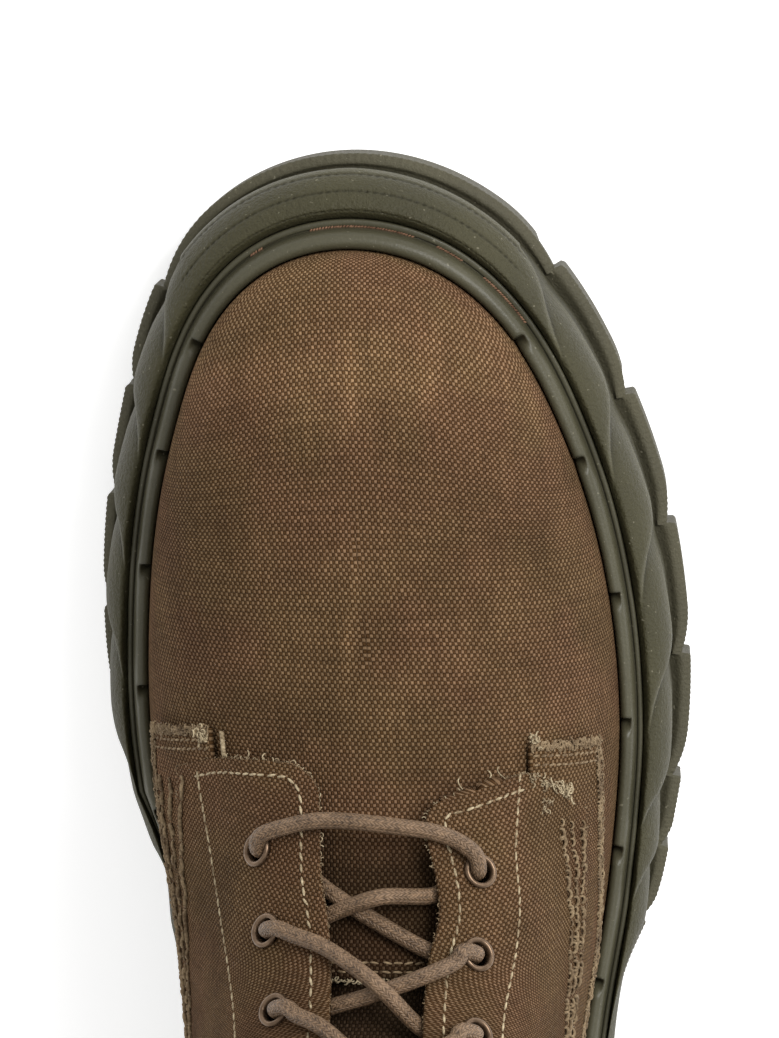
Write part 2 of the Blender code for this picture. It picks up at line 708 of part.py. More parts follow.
def overlay_shares(side, front):
    """Columns of an overlay: its front edge, then the upper's own columns back to the heel's seam."""
    first = share_at(side, min(QUARTER_FRONTS[side])) + SEAM_CLEAR
    corner = share_at(side, QUARTER_FRONTS[side][2]) + CORNER_SHARE
    columns = [u for u in upper_shares() if u > max(first, corner + SEAM_CLEAR)][:-1]
    return np.array([front, max(first, corner), *columns, 1.0 - SEAM_CLEAR / 8])


def build_quarter(name, side):
    """Half of the shaft with its eyelet flap, laid over the vamp and holed for the eyelets."""
    rows = 10
    outer, inner = [], []
    for w in np.linspace(0, 1, rows):
        shares = overlay_shares(side, quarter_front(side, w))
        columns = len(shares)
        low = np.array([share_at_rise(side, u, QUARTER_EDGE) for u in shares])
        high = np.array([flap_edge(side, u) for u in shares])
        v = low + (high - low) * w
        outer.append(quarter_point(side, shares, v, np.full(columns, QUARTER_THICKNESS)))
        inner.append(quarter_point(side, shares, v, np.zeros(columns)))
    bm = bmesh.new()
    add_sheet(bm, outer, inner)
    quarter = make_object(name, bm, CANVAS, 0.95)
    cutters = bmesh.new()
    radius, reach = EYELET_BARREL + SEAT_GAP, 3.0
    for pair in range(EYELET_PAIRS):
        add_turned(cutters, *eyelet_frame(side, pair), ((radius, reach), (radius, -reach)))
    holes = make_object(name + "_holes", cutters, CANVAS, 0.95)
    holes.hide_render = True
    holes.display_type = "WIRE"
    cut = quarter.modifiers.new("eyelet holes", "BOOLEAN")
    cut.operation = "DIFFERENCE"
    cut.object = holes
    return quarter


def build_stay(name, side):
    """The strip of canvas that shows ahead of the quarter and below it, sewn to the vamp."""
    gap = 0.7
    run = 330.0
    front = share_at(side, QUARTER_FRONTS[side][1] + STAY_LEAD)

    def strip(u_outer, v_outer, u_inner, v_inner):
        across = np.linspace(0, 1, 3)
        return u_outer + (u_inner - u_outer) * across, v_outer + (v_inner - v_outer) * across

    strips = []
    start = share_at_rise(side, front, STAY_EDGE)
    end = share_at_width(side, front, STAY_INNER)
    corner = share_at_rise(side, quarter_front(side, 0.0), QUARTER_EDGE) - gap / 60.0
    flap = flap_edge(side, quarter_front(side, 1.0))
    for v in np.linspace(end, start, 7):
        w = np.clip((v - corner) / (flap - corner), 0, 1)
        strips.append(strip(front, v, quarter_front(side, w) - gap / run, max(v, corner)))
    for u in overlay_shares(side, quarter_front(side, 0.0))[1:]:
        low = share_at_rise(side, u, STAY_EDGE)
        high = share_at_rise(side, u, QUARTER_EDGE - gap)
        strips.append(strip(u, low, u, high))
    outer = [offset_point(side, u, v, np.full(len(u), OVERLAY_GAP + STAY_THICKNESS)) for u, v in strips]
    inner = [offset_point(side, u, v, np.full(len(u), OVERLAY_GAP)) for u, v in strips]
    bm = bmesh.new()
    add_sheet(bm, outer, inner)
    return make_object(name, bm, CANVAS, 0.95)


def build_tongue():
    """The tongue under the throat, from below the vamp's tab to above the collar."""
    across = 4
    under = -(WALL + TONGUE_GAP)
    start = THROAT_SHARE - TONGUE_TUCK
    shares = [start] + [u for u in upper_shares() if start < u < COLLAR_SHARE + 1e-6]
    faces = []
    for height in (under, under - TONGUE_THICKNESS):
        grid = []
        for u in shares:
            row = []
            for side in (MEDIAL, LATERAL):
                v = np.linspace(share_at_width(side, u, TONGUE_HALF_WIDTH), 1, across)
                half = offset_point(side, np.full(across, u), v, np.full(across, height))
                row += list(half if side == MEDIAL else half[-2::-1])
            grid.append(row)
        _, toeward = ridge_line(np.float64(COLLAR_SHARE))
        grid.append([point - toeward * TONGUE_RISE for point in grid[-1]])
        faces.append(grid)
    bm = bmesh.new()
    add_sheet(bm, *faces)
    return make_object("tongue", bm, LINING, 0.95)


# Eyelets and lace

def add_turned(bm, centre, axis, profile, sides=8, closed=True):
    """A round solid about an axis, from a profile of radius and height."""
    axis = np.asarray(axis, float)
    across = np.cross(axis, (0.0, 1.0, 0.0))
    across /= np.linalg.norm(across)
    other = np.cross(axis, across)
    rings = []
    for radius, height in profile:
        ring = []
        for k in range(sides):
            turn = 2 * math.pi * k / sides
            outward = math.cos(turn) * across + math.sin(turn) * other
            ring.append(bm.verts.new(centre + axis * height + radius * outward))
        rings.append(ring)
    loops = rings if closed else rings + rings[:1]
    for low, high in zip(loops, loops[1:]):
        for k in range(sides):
            j = (k + 1) % sides
            bm.faces.new((low[k], low[j], high[j], high[k]))
    if closed:
        bm.faces.new(rings[0])
        bm.faces.new(rings[-1][::-1])


def build_eyelet(name, side, pair):
    """A painted metal eyelet: a rounded flange on the flap, and a barrel through it."""
    centre, normal = eyelet_frame(side, pair)
    seat = EYELET_SEAT
    profile = (
        (EYELET_HOLE, -EYELET_DEPTH),
        (EYELET_BARREL, -EYELET_DEPTH),
        (EYELET_BARREL, seat),
        (EYELET_RADIUS, seat),
        (EYELET_RADIUS - 0.5, seat + EYELET_FLANGE),
        (EYELET_HOLE, seat + 0.6 * EYELET_FLANGE),
    )
    bm = bmesh.new()
    add_turned(bm, centre, normal, profile, closed=False)
    return make_object(name, bm, EYELET_PAINT, 0.4, 0.6)


def smooth_path(points, steps):
    """Points along the smooth open curve through the given ones."""
    points = np.array(points, float)
    rows = np.column_stack([np.arange(len(points)), points])
    return smooth_row(rows, np.linspace(0, len(points) - 1, steps))


def make_strand(name, points, steps=7):
    """A stretch of round lace along a smooth curve through points."""
    path = smooth_path(points, steps)
    curve = bpy.data.curves.new(name, "CURVE")
    curve.dimensions = "3D"
    curve.bevel_depth = LACE_RADIUS * MM
    curve.bevel_resolution = 1
    curve.use_fill_caps = True
    spline = curve.splines.new("POLY")
    spline.points.add(len(path) - 1)
    for place, point in zip(spline.points, path):
        place.co = (*(point * MM), 1.0)
    strand = bpy.data.objects.new(name, curve)
    bpy.context.scene.collection.objects.link(strand)
    return strand


def over_flap(side, pair, width, height, ahead=0.0):
    """Centre of a lace lying a height over the flap, at a distance from the ridge."""
    u = np.float64(eyelet_share(side, pair) - ahead)
    v = np.float64(share_at_width(side, u, width))
    return quarter_point(side, u, v, np.float64(QUARTER_THICKNESS + LACE_RADIUS + height))


def in_throat(share, across, height):
    """Centre of a lace lying a height over the vamp between the flaps, at a distance across the ridge."""
    side = LATERAL if across > 0 else MEDIAL
    v = np.float64(share_at_width(side, share, max(abs(across), 0.05)))
    return offset_point(side, np.float64(share), v, np.float64(LACE_RADIUS + height))


def lace_mesh(name, strands):
    """One solid from crossing strands of lace."""
    depsgraph = bpy.context.evaluated_depsgraph_get()
    first, *others = strands
    bm = bmesh.new()
    bm.from_mesh(first.evaluated_get(depsgraph).to_mesh())
    bmesh.ops.remove_doubles(bm, verts=bm.verts, dist=1e-7)
    bmesh.ops.scale(bm, vec=(1 / MM, 1 / MM, 1 / MM), verts=bm.verts)
    lace = make_object(name, bm, LACE_CORD, 0.7)
    bpy.data.objects.remove(first)
    for strand in others:
        strand.hide_render = True
        strand.display_type = "WIRE"
        other = bmesh.new()
        other.from_mesh(strand.evaluated_get(depsgraph).to_mesh())
        bmesh.ops.remove_doubles(other, verts=other.verts, dist=1e-7)
        bmesh.ops.scale(other, vec=(1 / MM, 1 / MM, 1 / MM), verts=other.verts)
        cutter = make_object(name + "_over", other, LACE_CORD, 0.7)
        cutter.hide_render = True
        cutter.display_type = "WIRE"
        bpy.data.objects.remove(strand)
        join = lace.modifiers.new("crossing", "BOOLEAN")
        join.operation = "UNION"
        join.object = cutter
    return lace


def build_lace():
    """The bar over the first pair of eyelets, and a crossing between each pair and the next."""
    both = [[eyelet_share(side, pair) for side in (LATERAL, MEDIAL)] for pair in range(EYELET_PAIRS)]
    shares = [0.5 * sum(pair) for pair in both]
    clear = EYELET_SEAT + EYELET_FLANGE + LACE_CLEAR
    bar = []
    for side in (MEDIAL, LATERAL):
        width = EYELET_WIDTHS[side][0]
        half = [
            over_flap(side, 0, width - 1.0, clear + 0.6),
            over_flap(side, 0, 0.5 * (width + FLAP_GAP), clear, 0.6 * BAR_BOW),
            over_flap(side, 0, FLAP_GAP, LACE_CLEAR, BAR_BOW),
        ]
        bar += half if side == MEDIAL else half[::-1]
    lace_mesh("lace_bar", [make_strand("bar", bar, 11)])
    for pair in range(EYELET_PAIRS - 1):
        middle = 0.5 * (shares[pair] + shares[pair + 1])
        strands = []
        for side in (MEDIAL, LATERAL):
            low = FLAP_GAP - LACE_RADIUS
            points = [in_throat(shares[pair + 1], -side * low, LACE_CLEAR)]
            if pair == 0:
                points.append(in_throat(middle, 0.0, LACE_CLEAR + 1.0))
                points.append(in_throat(shares[pair], side * low, LACE_CLEAR))
            else:
                points.append(in_throat(middle, 0.0, LACE_CLEAR + FLAP_LIFT))
                points.append(over_flap(side, pair, FLAP_GAP, LACE_CLEAR))
                points.append(over_flap(side, pair, EYELET_WIDTHS[side][pair] - 3.0, clear))
            strands.append(make_strand("strand", points))
        lace_mesh(f"lace_cross_{pair + 1}", strands)


def build_boot():
    build_outsole()
    build_midsole()
    build_welt()
    build_insole()
    build_upper()
    build_tongue()
    for name, side in SIDES.items():
        build_quarter("quarter_" + name, side)
        build_stay("stay_" + name, side)
        for pair in range(EYELET_PAIRS):
            build_eyelet(f"eyelet_{name}_{pair + 1}", side, pair)
    build_lace()


for leftover in list(bpy.data.objects):
    bpy.data.objects.remove(leftover)
build_boot()
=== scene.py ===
"""Looks of a right canvas boot on a lugged rubber sole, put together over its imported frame.

The file follows the boot as it is made: upper, footbed, welt, sidewall, tread, tongue, flaps, strips,
stitching, frayed edges, eyelets and lace, then the floor, light and camera. Sizes are in millimetres.
A side is +1 for lateral and -1 for medial. A share u runs along each side from the toe tip to the back
of the heel, and a share v up the upper from the welt's lip to the ridge over the foot or to the collar.
"""

import math

import bpy
import numpy as np
from mathutils import Matrix, Vector


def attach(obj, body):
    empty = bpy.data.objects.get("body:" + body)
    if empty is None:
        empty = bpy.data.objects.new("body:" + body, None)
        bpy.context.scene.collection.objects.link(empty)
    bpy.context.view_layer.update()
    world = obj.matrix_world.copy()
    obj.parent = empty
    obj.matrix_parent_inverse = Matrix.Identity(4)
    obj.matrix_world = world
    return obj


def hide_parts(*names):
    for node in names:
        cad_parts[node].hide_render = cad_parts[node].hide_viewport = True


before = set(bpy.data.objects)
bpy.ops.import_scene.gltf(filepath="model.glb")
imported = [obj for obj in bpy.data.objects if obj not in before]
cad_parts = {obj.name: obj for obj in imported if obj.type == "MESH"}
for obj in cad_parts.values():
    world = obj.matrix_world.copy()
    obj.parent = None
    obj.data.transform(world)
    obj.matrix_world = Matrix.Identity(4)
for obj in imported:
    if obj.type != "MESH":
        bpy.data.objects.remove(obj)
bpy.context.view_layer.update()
bpy.ops.object.select_all(action="DESELECT")

# The upper: one wall of brown plain-weave canvas, its inner face in a darker copy of the weave as painted
# shade, pulled over a last and closed at the heel. It runs from under the welt's lip to the ridge over the
# foot, and is open at the throat and collar.

MM = 0.001
LATERAL, MEDIAL = 1, -1
SIDES = {"lateral": LATERAL, "medial": MEDIAL}
LIP_LENGTH = 330.0          # of the lateral side, which turns millimetres along the lip into a share
WALL = 1.8
BAND_DEPTH = 11.0           # how far the wall goes down inside the welt
THROAT_GAP = 15.0           # from the ridge to the wall's edge under each flap
THROAT_SHARE = 0.519
HEEL_SHARE = 0.85
COLLAR_SHARE = 0.72
COLLAR_CENTRE_Y, COLLAR_HEIGHT, COLLAR_BACK_RISE = -92.5, 197.0, 3.0
COLLAR_LENGTH, COLLAR_WIDTH, COLLAR_SQUARE = 97.0, 74.0, 2.5

# y, medial x, lateral x, lip's height, sole's flare past the upper on each side
FOOT_SECTIONS = (
    (138.6, -8.0, -8.0, 48.0, 17.9, 17.9),
    (134.2, -24.1, 9.7, 47.2, 17.2, 16.9),
    (123.9, -34.8, 22.3, 45.0, 15.9, 15.6),
    (103.9, -43.2, 34.1, 41.4, 14.1, 15.3),
    (83.9, -47.8, 41.4, 39.2, 13.2, 15.6),
    (58.0, -50.1, 46.6, 38.0, 12.1, 15.3),
    (34.0, -49.5, 47.9, 38.0, 9.0, 14.2),
    (12.9, -46.2, 46.5, 38.6, 3.4, 12.4),
    (-2.0, -43.6, 44.8, 39.4, 2.1, 10.8),
    (-16.0, -41.9, 42.5, 40.5, 1.9, 7.3),
    (-36.0, -39.6, 39.7, 42.5, 2.6, 6.5),
    (-62.0, -36.8, 37.2, 45.6, 6.4, 7.2),
    (-95.0, -35.6, 35.2, 49.0, 8.8, 9.0),
    (-122.0, -31.4, 30.4, 51.2, 9.4, 9.4),
    (-140.0, -19.5, 18.2, 52.2, 9.5, 9.5),
    (-147.5, -0.8, -0.8, 52.5, 9.5, 9.5),
)
# share u, x, y, z of the ridge, rise and lean at the lip, reach and sweep at the top, follow
RIDGE_SECTIONS = (
    (0.00, -6.0, 108.0, 76.0, 19.0, 0.02, 20.0, 90.0, 0.00),
    (0.08, -5.6, 103.0, 77.6, 20.0, 0.02, 22.0, 52.0, 0.00),
    (0.16, -4.9, 93.0, 80.4, 23.0, 0.00, 25.0, 20.0, 0.00),
    (0.24, -3.6, 79.0, 84.8, 26.0, -0.04, 28.0, 5.0, 0.00),
    (0.32, -1.2, 61.0, 91.0, 29.0, -0.08, 29.0, 0.0, 0.00),
    (0.40, 1.6, 39.0, 100.8, 35.0, -0.10, 28.0, 0.0, 0.05),
    (0.48, 2.9, 15.0, 114.6, 45.0, -0.11, 27.0, 0.0, 0.20),
    (0.55, 3.0, -7.0, 130.4, 58.0, -0.11, 26.0, 0.0, 0.40),
    (0.61, 2.3, -24.0, 147.4, 74.0, -0.10, 25.0, 0.0, 0.60),
    (0.66, 1.3, -35.0, 166.0, 91.0, -0.08, 25.0, 3.0, 0.70),
    (0.70, 0.4, -41.5, 185.0, 109.0, -0.05, 26.0, 8.0, 0.72),
    (0.72, 0.0, -44.0, 197.0, 120.0, -0.04, 27.0, 12.0, 0.72),
)
# share u, rise, lean, reach, sweep, follow of the collar's sections, and the tuck below the rim
RIM_SECTIONS = (
    (0.72, 120.0, -0.04, 27.0, 12.0, 0.72, -0.10),
    (0.74, 109.0, -0.05, 28.0, 34.0, 0.68, 0.06),
    (0.77, 95.0, -0.05, 34.0, 62.0, 0.60, 0.14),
    (0.82, 76.0, -0.02, 48.0, 88.0, 0.46, 0.16),
    (0.90, 58.0, 0.05, 58.0, 90.0, 0.20, 0.15),
    (1.00, 48.0, 0.10, 60.0, 90.0, 0.00, 0.16),
)


def clamp(values):
    """Values held between 0 and 1."""
    return np.clip(values, 0, 1)


def ease(t):
    """A share that starts and ends softly."""
    return t * t * (3 - 2 * t)


def unit(vectors):
    """Vectors brought to a length of 1."""
    return vectors / np.linalg.norm(vectors, axis=-1, keepdims=True)


def run_along(line):
    """Length along a line up to each of its points."""
    return np.concatenate([[0], np.cumsum(np.linalg.norm(np.diff(line, axis=0), axis=1))])


def smooth_row(rows, share):
    """Columns of a table at a share between its rows, on a smooth curve through them."""
    rows = np.array(rows, float)
    knots, columns = rows[:, 0], rows[:, 1:]
    slopes = np.gradient(columns, knots, axis=0)
    share = np.clip(np.asarray(share, float), knots[0], knots[-1])
    i = np.clip(np.searchsorted(knots, share, side="right") - 1, 0, len(knots) - 2)
    span = (knots[i + 1] - knots[i])[..., None]
    t = (share - knots[i])[..., None] / span
    return (
        (1 + 2 * t) * (1 - t) ** 2 * columns[i]
        + t * (1 - t) ** 2 * span * slopes[i]
        + t * t * (3 - 2 * t) * columns[i + 1]
        + t * t * (t - 1) * span * slopes[i + 1]
    )


def closed_spline(rows, steps):
    """Rows sampled along the smooth closed curve through them."""
    rows = np.array(rows, float)
    count = len(rows)
    following = np.roll(rows, -1, axis=0)
    chord = np.linalg.norm((following - rows)[:, :2], axis=1)
    before = np.roll(chord, 1)
    system = np.zeros((count, count))
    index = np.arange(count)
    system[index, (index - 1) % count] = before
    system[index, index] = 2 * (before + chord)
    system[index, (index + 1) % count] = chord
    slope = (following - rows) / chord[:, None]
    bend = np.linalg.solve(system, 6 * (slope - np.roll(slope, 1, axis=0)))
    next_bend = np.roll(bend, -1, axis=0)
    samples = []
    for t in np.arange(steps) / steps:
        far, near = t**3 - t, (1 - t) ** 3 - (1 - t)
        curve = (far * next_bend + near * bend) * chord[:, None] ** 2 / 6
        samples.append((1 - t) * rows + t * following + curve)
    return np.stack(samples, axis=1).reshape(count * steps, -1)


def make_lip_line():
    """Each side's lip line: share u, length, and samples of x, y, outward normal, height and flare."""
    steps = 40
    lateral = [(row[2], row[0], row[3], row[5]) for row in FOOT_SECTIONS]
    medial = [(row[1], row[0], row[3], row[4]) for row in FOOT_SECTIONS[-2:0:-1]]
    loop = closed_spline(lateral + medial, steps)
    tangent = np.roll(loop, -1, axis=0)[:, :2] - np.roll(loop, 1, axis=0)[:, :2]
    normal = unit(np.stack([-tangent[:, 1], tangent[:, 0]], axis=1))
    samples = np.hstack([loop[:, :2], normal, loop[:, 2:]])
    heel = (len(FOOT_SECTIONS) - 1) * steps
    paths = {LATERAL: samples[: heel + 1], MEDIAL: np.vstack([samples[heel:], samples[:1]])[::-1]}
    lines = {}
    for side, path in paths.items():
        run = run_along(path[:, :2])
        lines[side] = (run / run[-1], run[-1], path)
    return lines


LIP_LINE = make_lip_line()


def foot_line(side, u):
    """Point on the lip line, its outward normal, the lip's height and the sole's flare there."""
    share, _, path = LIP_LINE[side]
    columns = np.stack([np.interp(u, share, path[:, k]) for k in range(path.shape[1])], axis=-1)
    return columns[..., :2], unit(columns[..., 2:4]), columns[..., 4], columns[..., 5]


def share_at(side, y):
    """Share u of the lip line's point at a given y."""
    share, _, path = LIP_LINE[side]
    return float(np.interp(-y, -path[:, 1], share))


def ridge_line(u):
    """Point on the ridge and the unit direction along it towards the toe."""
    u = np.clip(u, 0, COLLAR_SHARE)
    along = smooth_row(RIDGE_SECTIONS, clamp(u - 1e-4))[..., :3]
    along = along - smooth_row(RIDGE_SECTIONS, np.clip(u + 1e-4, 0, COLLAR_SHARE))[..., :3]
    return smooth_row(RIDGE_SECTIONS, u)[..., :3], unit(along)


def top_line(side, u):
    """Where each section ends at the top, its handle there, and its rise, lean and follow at the lip."""
    ridge = smooth_row(RIDGE_SECTIONS, np.clip(u, 0, COLLAR_SHARE))
    ridge_point, toeward = ridge_line(u)
    rim = smooth_row(RIM_SECTIONS, np.clip(u, COLLAR_SHARE, 1))
    back = clamp((u - COLLAR_SHARE) / (1 - COLLAR_SHARE))
    turn = math.pi * back
    outward = np.stack([side * np.sin(turn), np.cos(turn), 0 * turn], axis=-1)
    square = np.where(back < 0.5, 2 / COLLAR_SQUARE, 1.0)
    across = np.abs(np.sin(turn)) ** square * side * COLLAR_WIDTH / 2
    forward = np.sign(np.cos(turn)) * np.abs(np.cos(turn)) ** square * COLLAR_LENGTH / 2
    height = COLLAR_HEIGHT + COLLAR_BACK_RISE * back
    rim_point = np.stack([across, COLLAR_CENTRE_Y + forward, height], axis=-1)
    down = -rim[..., 5:6] * outward + (0, 0, -1)
    on_ridge = (u <= COLLAR_SHARE)[..., None]
    point = np.where(on_ridge, ridge_point, rim_point)
    along = np.where(on_ridge, toeward, down)
    shape = np.where(on_ridge, ridge[..., 3:8], rim[..., :5])
    rise, lean, reach, sweep, follow = np.moveaxis(shape, -1, 0)
    sweep = np.radians(sweep)[..., None]
    sideways = np.array([side, 0.0, 0.0])
    handle = reach[..., None] * (np.cos(sweep) * sideways + np.sin(sweep) * along)
    return point, handle, rise, lean, follow


def upper_surface(side, u, v):
    """Point on the upper's outer face, on a cubic curve from the lip line to the top line."""
    u, v = np.broadcast_arrays(np.asarray(u, float), np.asarray(v, float))
    place, outward, lip, _ = foot_line(side, u)
    top, handle, rise, lean, follow = top_line(side, u)
    foot = np.concatenate([place, lip[..., None]], axis=-1)
    lift = np.concatenate([outward * lean[..., None], np.ones(u.shape + (1,))], axis=-1)
    first = foot + lift * rise[..., None]
    first[..., 1] += follow * (top - foot)[..., 1]
    v = v[..., None]
    return (
        (1 - v) ** 3 * foot + 3 * v * (1 - v) ** 2 * first
        + 3 * v * v * (1 - v) * (top + handle) + v**3 * top
    )


def side_normal(side, u, v):
    """Outward normal of the upper from one side alone."""
    low_u, high_u = clamp(u - 1e-3), clamp(u + 1e-3)
    low_v, high_v = clamp(v - 1e-3), clamp(v + 1e-3)
    along = upper_surface(side, high_u, v) - upper_surface(side, low_u, v)
    up = upper_surface(side, u, high_v) - upper_surface(side, u, low_v)
    return unit(side * np.cross(up, along))


def upper_normal(side, u, v):
    """Outward normal of the upper, shared by both sides where they meet."""
    u, v = np.broadcast_arrays(np.asarray(u, float), np.asarray(v, float))
    below = np.where(u <= COLLAR_SHARE, np.minimum(v, 0.995), v)
    normal = side_normal(side, u, below)
    centred = normal + side_normal(-side, u, below) * ((u <= 0) | (u >= 1))[..., None]
    over_ridge = np.cross((1.0, 0.0, 0.0), ridge_line(u)[1])
    on_ridge = (v >= 1) & (u <= COLLAR_SHARE)
    return unit(np.where(on_ridge[..., None], over_ridge, centred))


def offset_point(side, u, v, height):
    """Point at a height over the upper's outer face."""
    height = np.asarray(height, float)[..., None]
    return upper_surface(side, u, v) + upper_normal(side, u, v) * height


def ridge_distance(side, u, v):
    """Distance across the foot from the ridge to the upper's outer face."""
    return np.abs(upper_surface(side, u, v)[..., 0] - ridge_line(u)[0][..., 0])


def share_at_width(side, u, width):
    """Share v where each section at u comes within a width of the ridge, or 1 where it never does."""
    u, width = np.broadcast_arrays(np.asarray(u, float), np.asarray(width, float))
    v = np.linspace(0.3, 1, 281)
    off = np.abs(upper_surface(side, u[..., None], v)[..., 0] - ridge_line(u)[0][..., :1])
    inside = off < width[..., None]
    first = np.clip(np.argmax(inside, axis=-1), 1, len(v) - 1)
    before = np.take_along_axis(off, first[..., None] - 1, -1)[..., 0]
    after = np.take_along_axis(off, first[..., None], -1)[..., 0]
    share = v[first - 1] + (v[1] - v[0]) * clamp((before - width) / (before - after + 1e-9))
    return np.where((u > HEEL_SHARE) | (off[..., -1] >= width), 1.0, share)


def share_at_rise(side, u, rise):
    """Share v where each section at u stands a given height over the lip."""
    v = np.linspace(0, 0.8, 161)
    u = np.asarray(u, float)
    height = upper_surface(side, u[..., None], v)[..., 2]
    height = (height - height[..., :1]).reshape(-1, len(v))
    rise = np.broadcast_to(rise, u.shape).reshape(-1)
    return np.array([np.interp(r, row, v) for r, row in zip(rise, height)]).reshape(u.shape)


def bend_grid(name, points, uv, *materials, **attributes):
    """A grid primitive bent to rows of points, with its own UV map in millimetres, welded at its seams."""
    rows, columns = points.shape[:2]
    bpy.ops.object.select_all(action="DESELECT")
    bpy.ops.mesh.primitive_grid_add(x_subdivisions=columns - 1, y_subdivisions=rows - 1, size=0.1)
    piece = bpy.context.object
    piece.name = piece.data.name = name
    mesh = piece.data
    mesh.vertices.foreach_set("co", (points * MM).astype(np.float32).reshape(-1))
    corners = np.empty(len(mesh.loops), np.int32)
    mesh.loops.foreach_get("vertex_index", corners)
    flat = np.asarray(uv, np.float32).reshape(-1, 2)[corners]
    mesh.uv_layers.active.data.foreach_set("uv", flat.reshape(-1))
    for material in materials:
        mesh.materials.append(material)
    for key, values in attributes.items():
        layer = mesh.attributes.new(key, "FLOAT", "POINT")
        layer.data.foreach_set("value", np.asarray(values, np.float32).reshape(-1))
    bpy.ops.object.mode_set(mode="EDIT")
    bpy.ops.mesh.select_all(action="SELECT")
    bpy.ops.mesh.remove_doubles(threshold=2e-6)
    bpy.ops.object.mode_set(mode="OBJECT")
    bpy.ops.object.shade_smooth()
    return piece


def thicken(piece, thickness, offset, inner_material=0):
    """Give a sheet its thickness, with its inner face and edges in another of its materials."""
    bpy.context.view_layer.objects.active = piece
    wall = piece.modifiers.new("wall", "SOLIDIFY")
    wall.thickness, wall.offset = thickness * MM, offset
    wall.material_offset = wall.material_offset_rim = inner_material
    bpy.ops.object.modifier_apply(modifier=wall.name)


def finish_piece(piece, slot, *nodes):
    """Let a piece ride on the boot and stand for its CAD nodes; its slot is not used."""
    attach(piece, "root")
    if nodes:
        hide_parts(*nodes)
    return piece


class Wire:
    """The value of a shader node's output, which can stand in sums."""

    def __init__(self, tree, socket):
        self.tree, self.socket = tree, socket

    def calc(self, operation, *values, kind="ShaderNodeMath"):
        """A sum of numbers, or of vectors with the other kind of node."""
        return new_node(self.tree, kind, dict(enumerate((self, *values))), operation=operation)

    def __add__(self, other):
        return self.calc("ADD", other)

    def __sub__(self, other):
        return self.calc("SUBTRACT", other)

    def __mul__(self, other):
        return self.calc("MULTIPLY", other)

    def __pow__(self, other):
        return self.calc("POWER", other)

    def __abs__(self):
        return self.calc("ABSOLUTE")


def put(socket, value):
    """Link a socket to a value of another node, or set it."""
    if isinstance(value, Wire):
        value.tree.links.new(value.socket, socket)
    else:
        socket.default_value = value


def new_node(tree, kind, inputs, output=0, **settings):
    """A node with its settings and inputs, by number or by name, and the value that it gives."""
    node = tree.nodes.new(kind)
    for key, value in settings.items():
        setattr(node, key, value)
    for key, value in inputs.items():
        put(node.inputs[key], value)
    return Wire(tree, node.outputs[output])


def start_material(name, roughness, specular=0.5):
    """A new material, with its tree of nodes and its shader's inputs."""
    material = bpy.data.materials.new(name)
    material.use_nodes = True
    sockets = material.node_tree.nodes["Principled BSDF"].inputs
    sockets["Roughness"].default_value = roughness
    sockets["Specular IOR Level"].default_value = specular
    return material, material.node_tree, sockets


def coords(tree, output):
    return new_node(tree, "ShaderNodeTexCoord", {}, output)


def attribute(tree, name):
    """A piece's own values, which are set with its mesh."""
    return new_node(tree, "ShaderNodeAttribute", {}, "Fac", attribute_name=name)


def split(vector):
    """The first two parts of a vector."""
    node = new_node(vector.tree, "ShaderNodeSeparateXYZ", {0: vector}).socket.node
    return [Wire(vector.tree, node.outputs[k]) for k in (0, 1)]


def mix(factor, low, high, mode="MIX"):
    """A colour between two."""
    tree = (factor if isinstance(factor, Wire) else low).tree
    low, high = (end if isinstance(end, Wire) else (*end, 1.0) for end in (low, high))
    return new_node(tree, "ShaderNodeMix", {0: factor, 6: low, 7: high}, 2, data_type="RGBA", blend_type=mode)


def ramp(value, *ends):
    """A value brought from one range into another, or into 0 to 1, and held at its ends."""
    return new_node(value.tree, "ShaderNodeMapRange", dict(enumerate((value, *ends))))


def stretch(vector, *scale):
    return vector.calc("MULTIPLY", scale, kind="ShaderNodeVectorMath")


def noise(vector, scale, detail=2.0, output=0):
    inputs = {"Vector": vector, "Scale": scale, "Detail": detail}
    return new_node(vector.tree, "ShaderNodeTexNoise", inputs, output)


def bump(sockets, height, depth):
    """Fine relief of a depth in millimetres."""
    inputs = {"Strength": 1.0, "Distance": depth * MM, "Height": height}
    put(sockets["Normal"], new_node(height.tree, "ShaderNodeBump", inputs))


YARN_ACROSS, YARN_ALONG = 0.6, 0.79


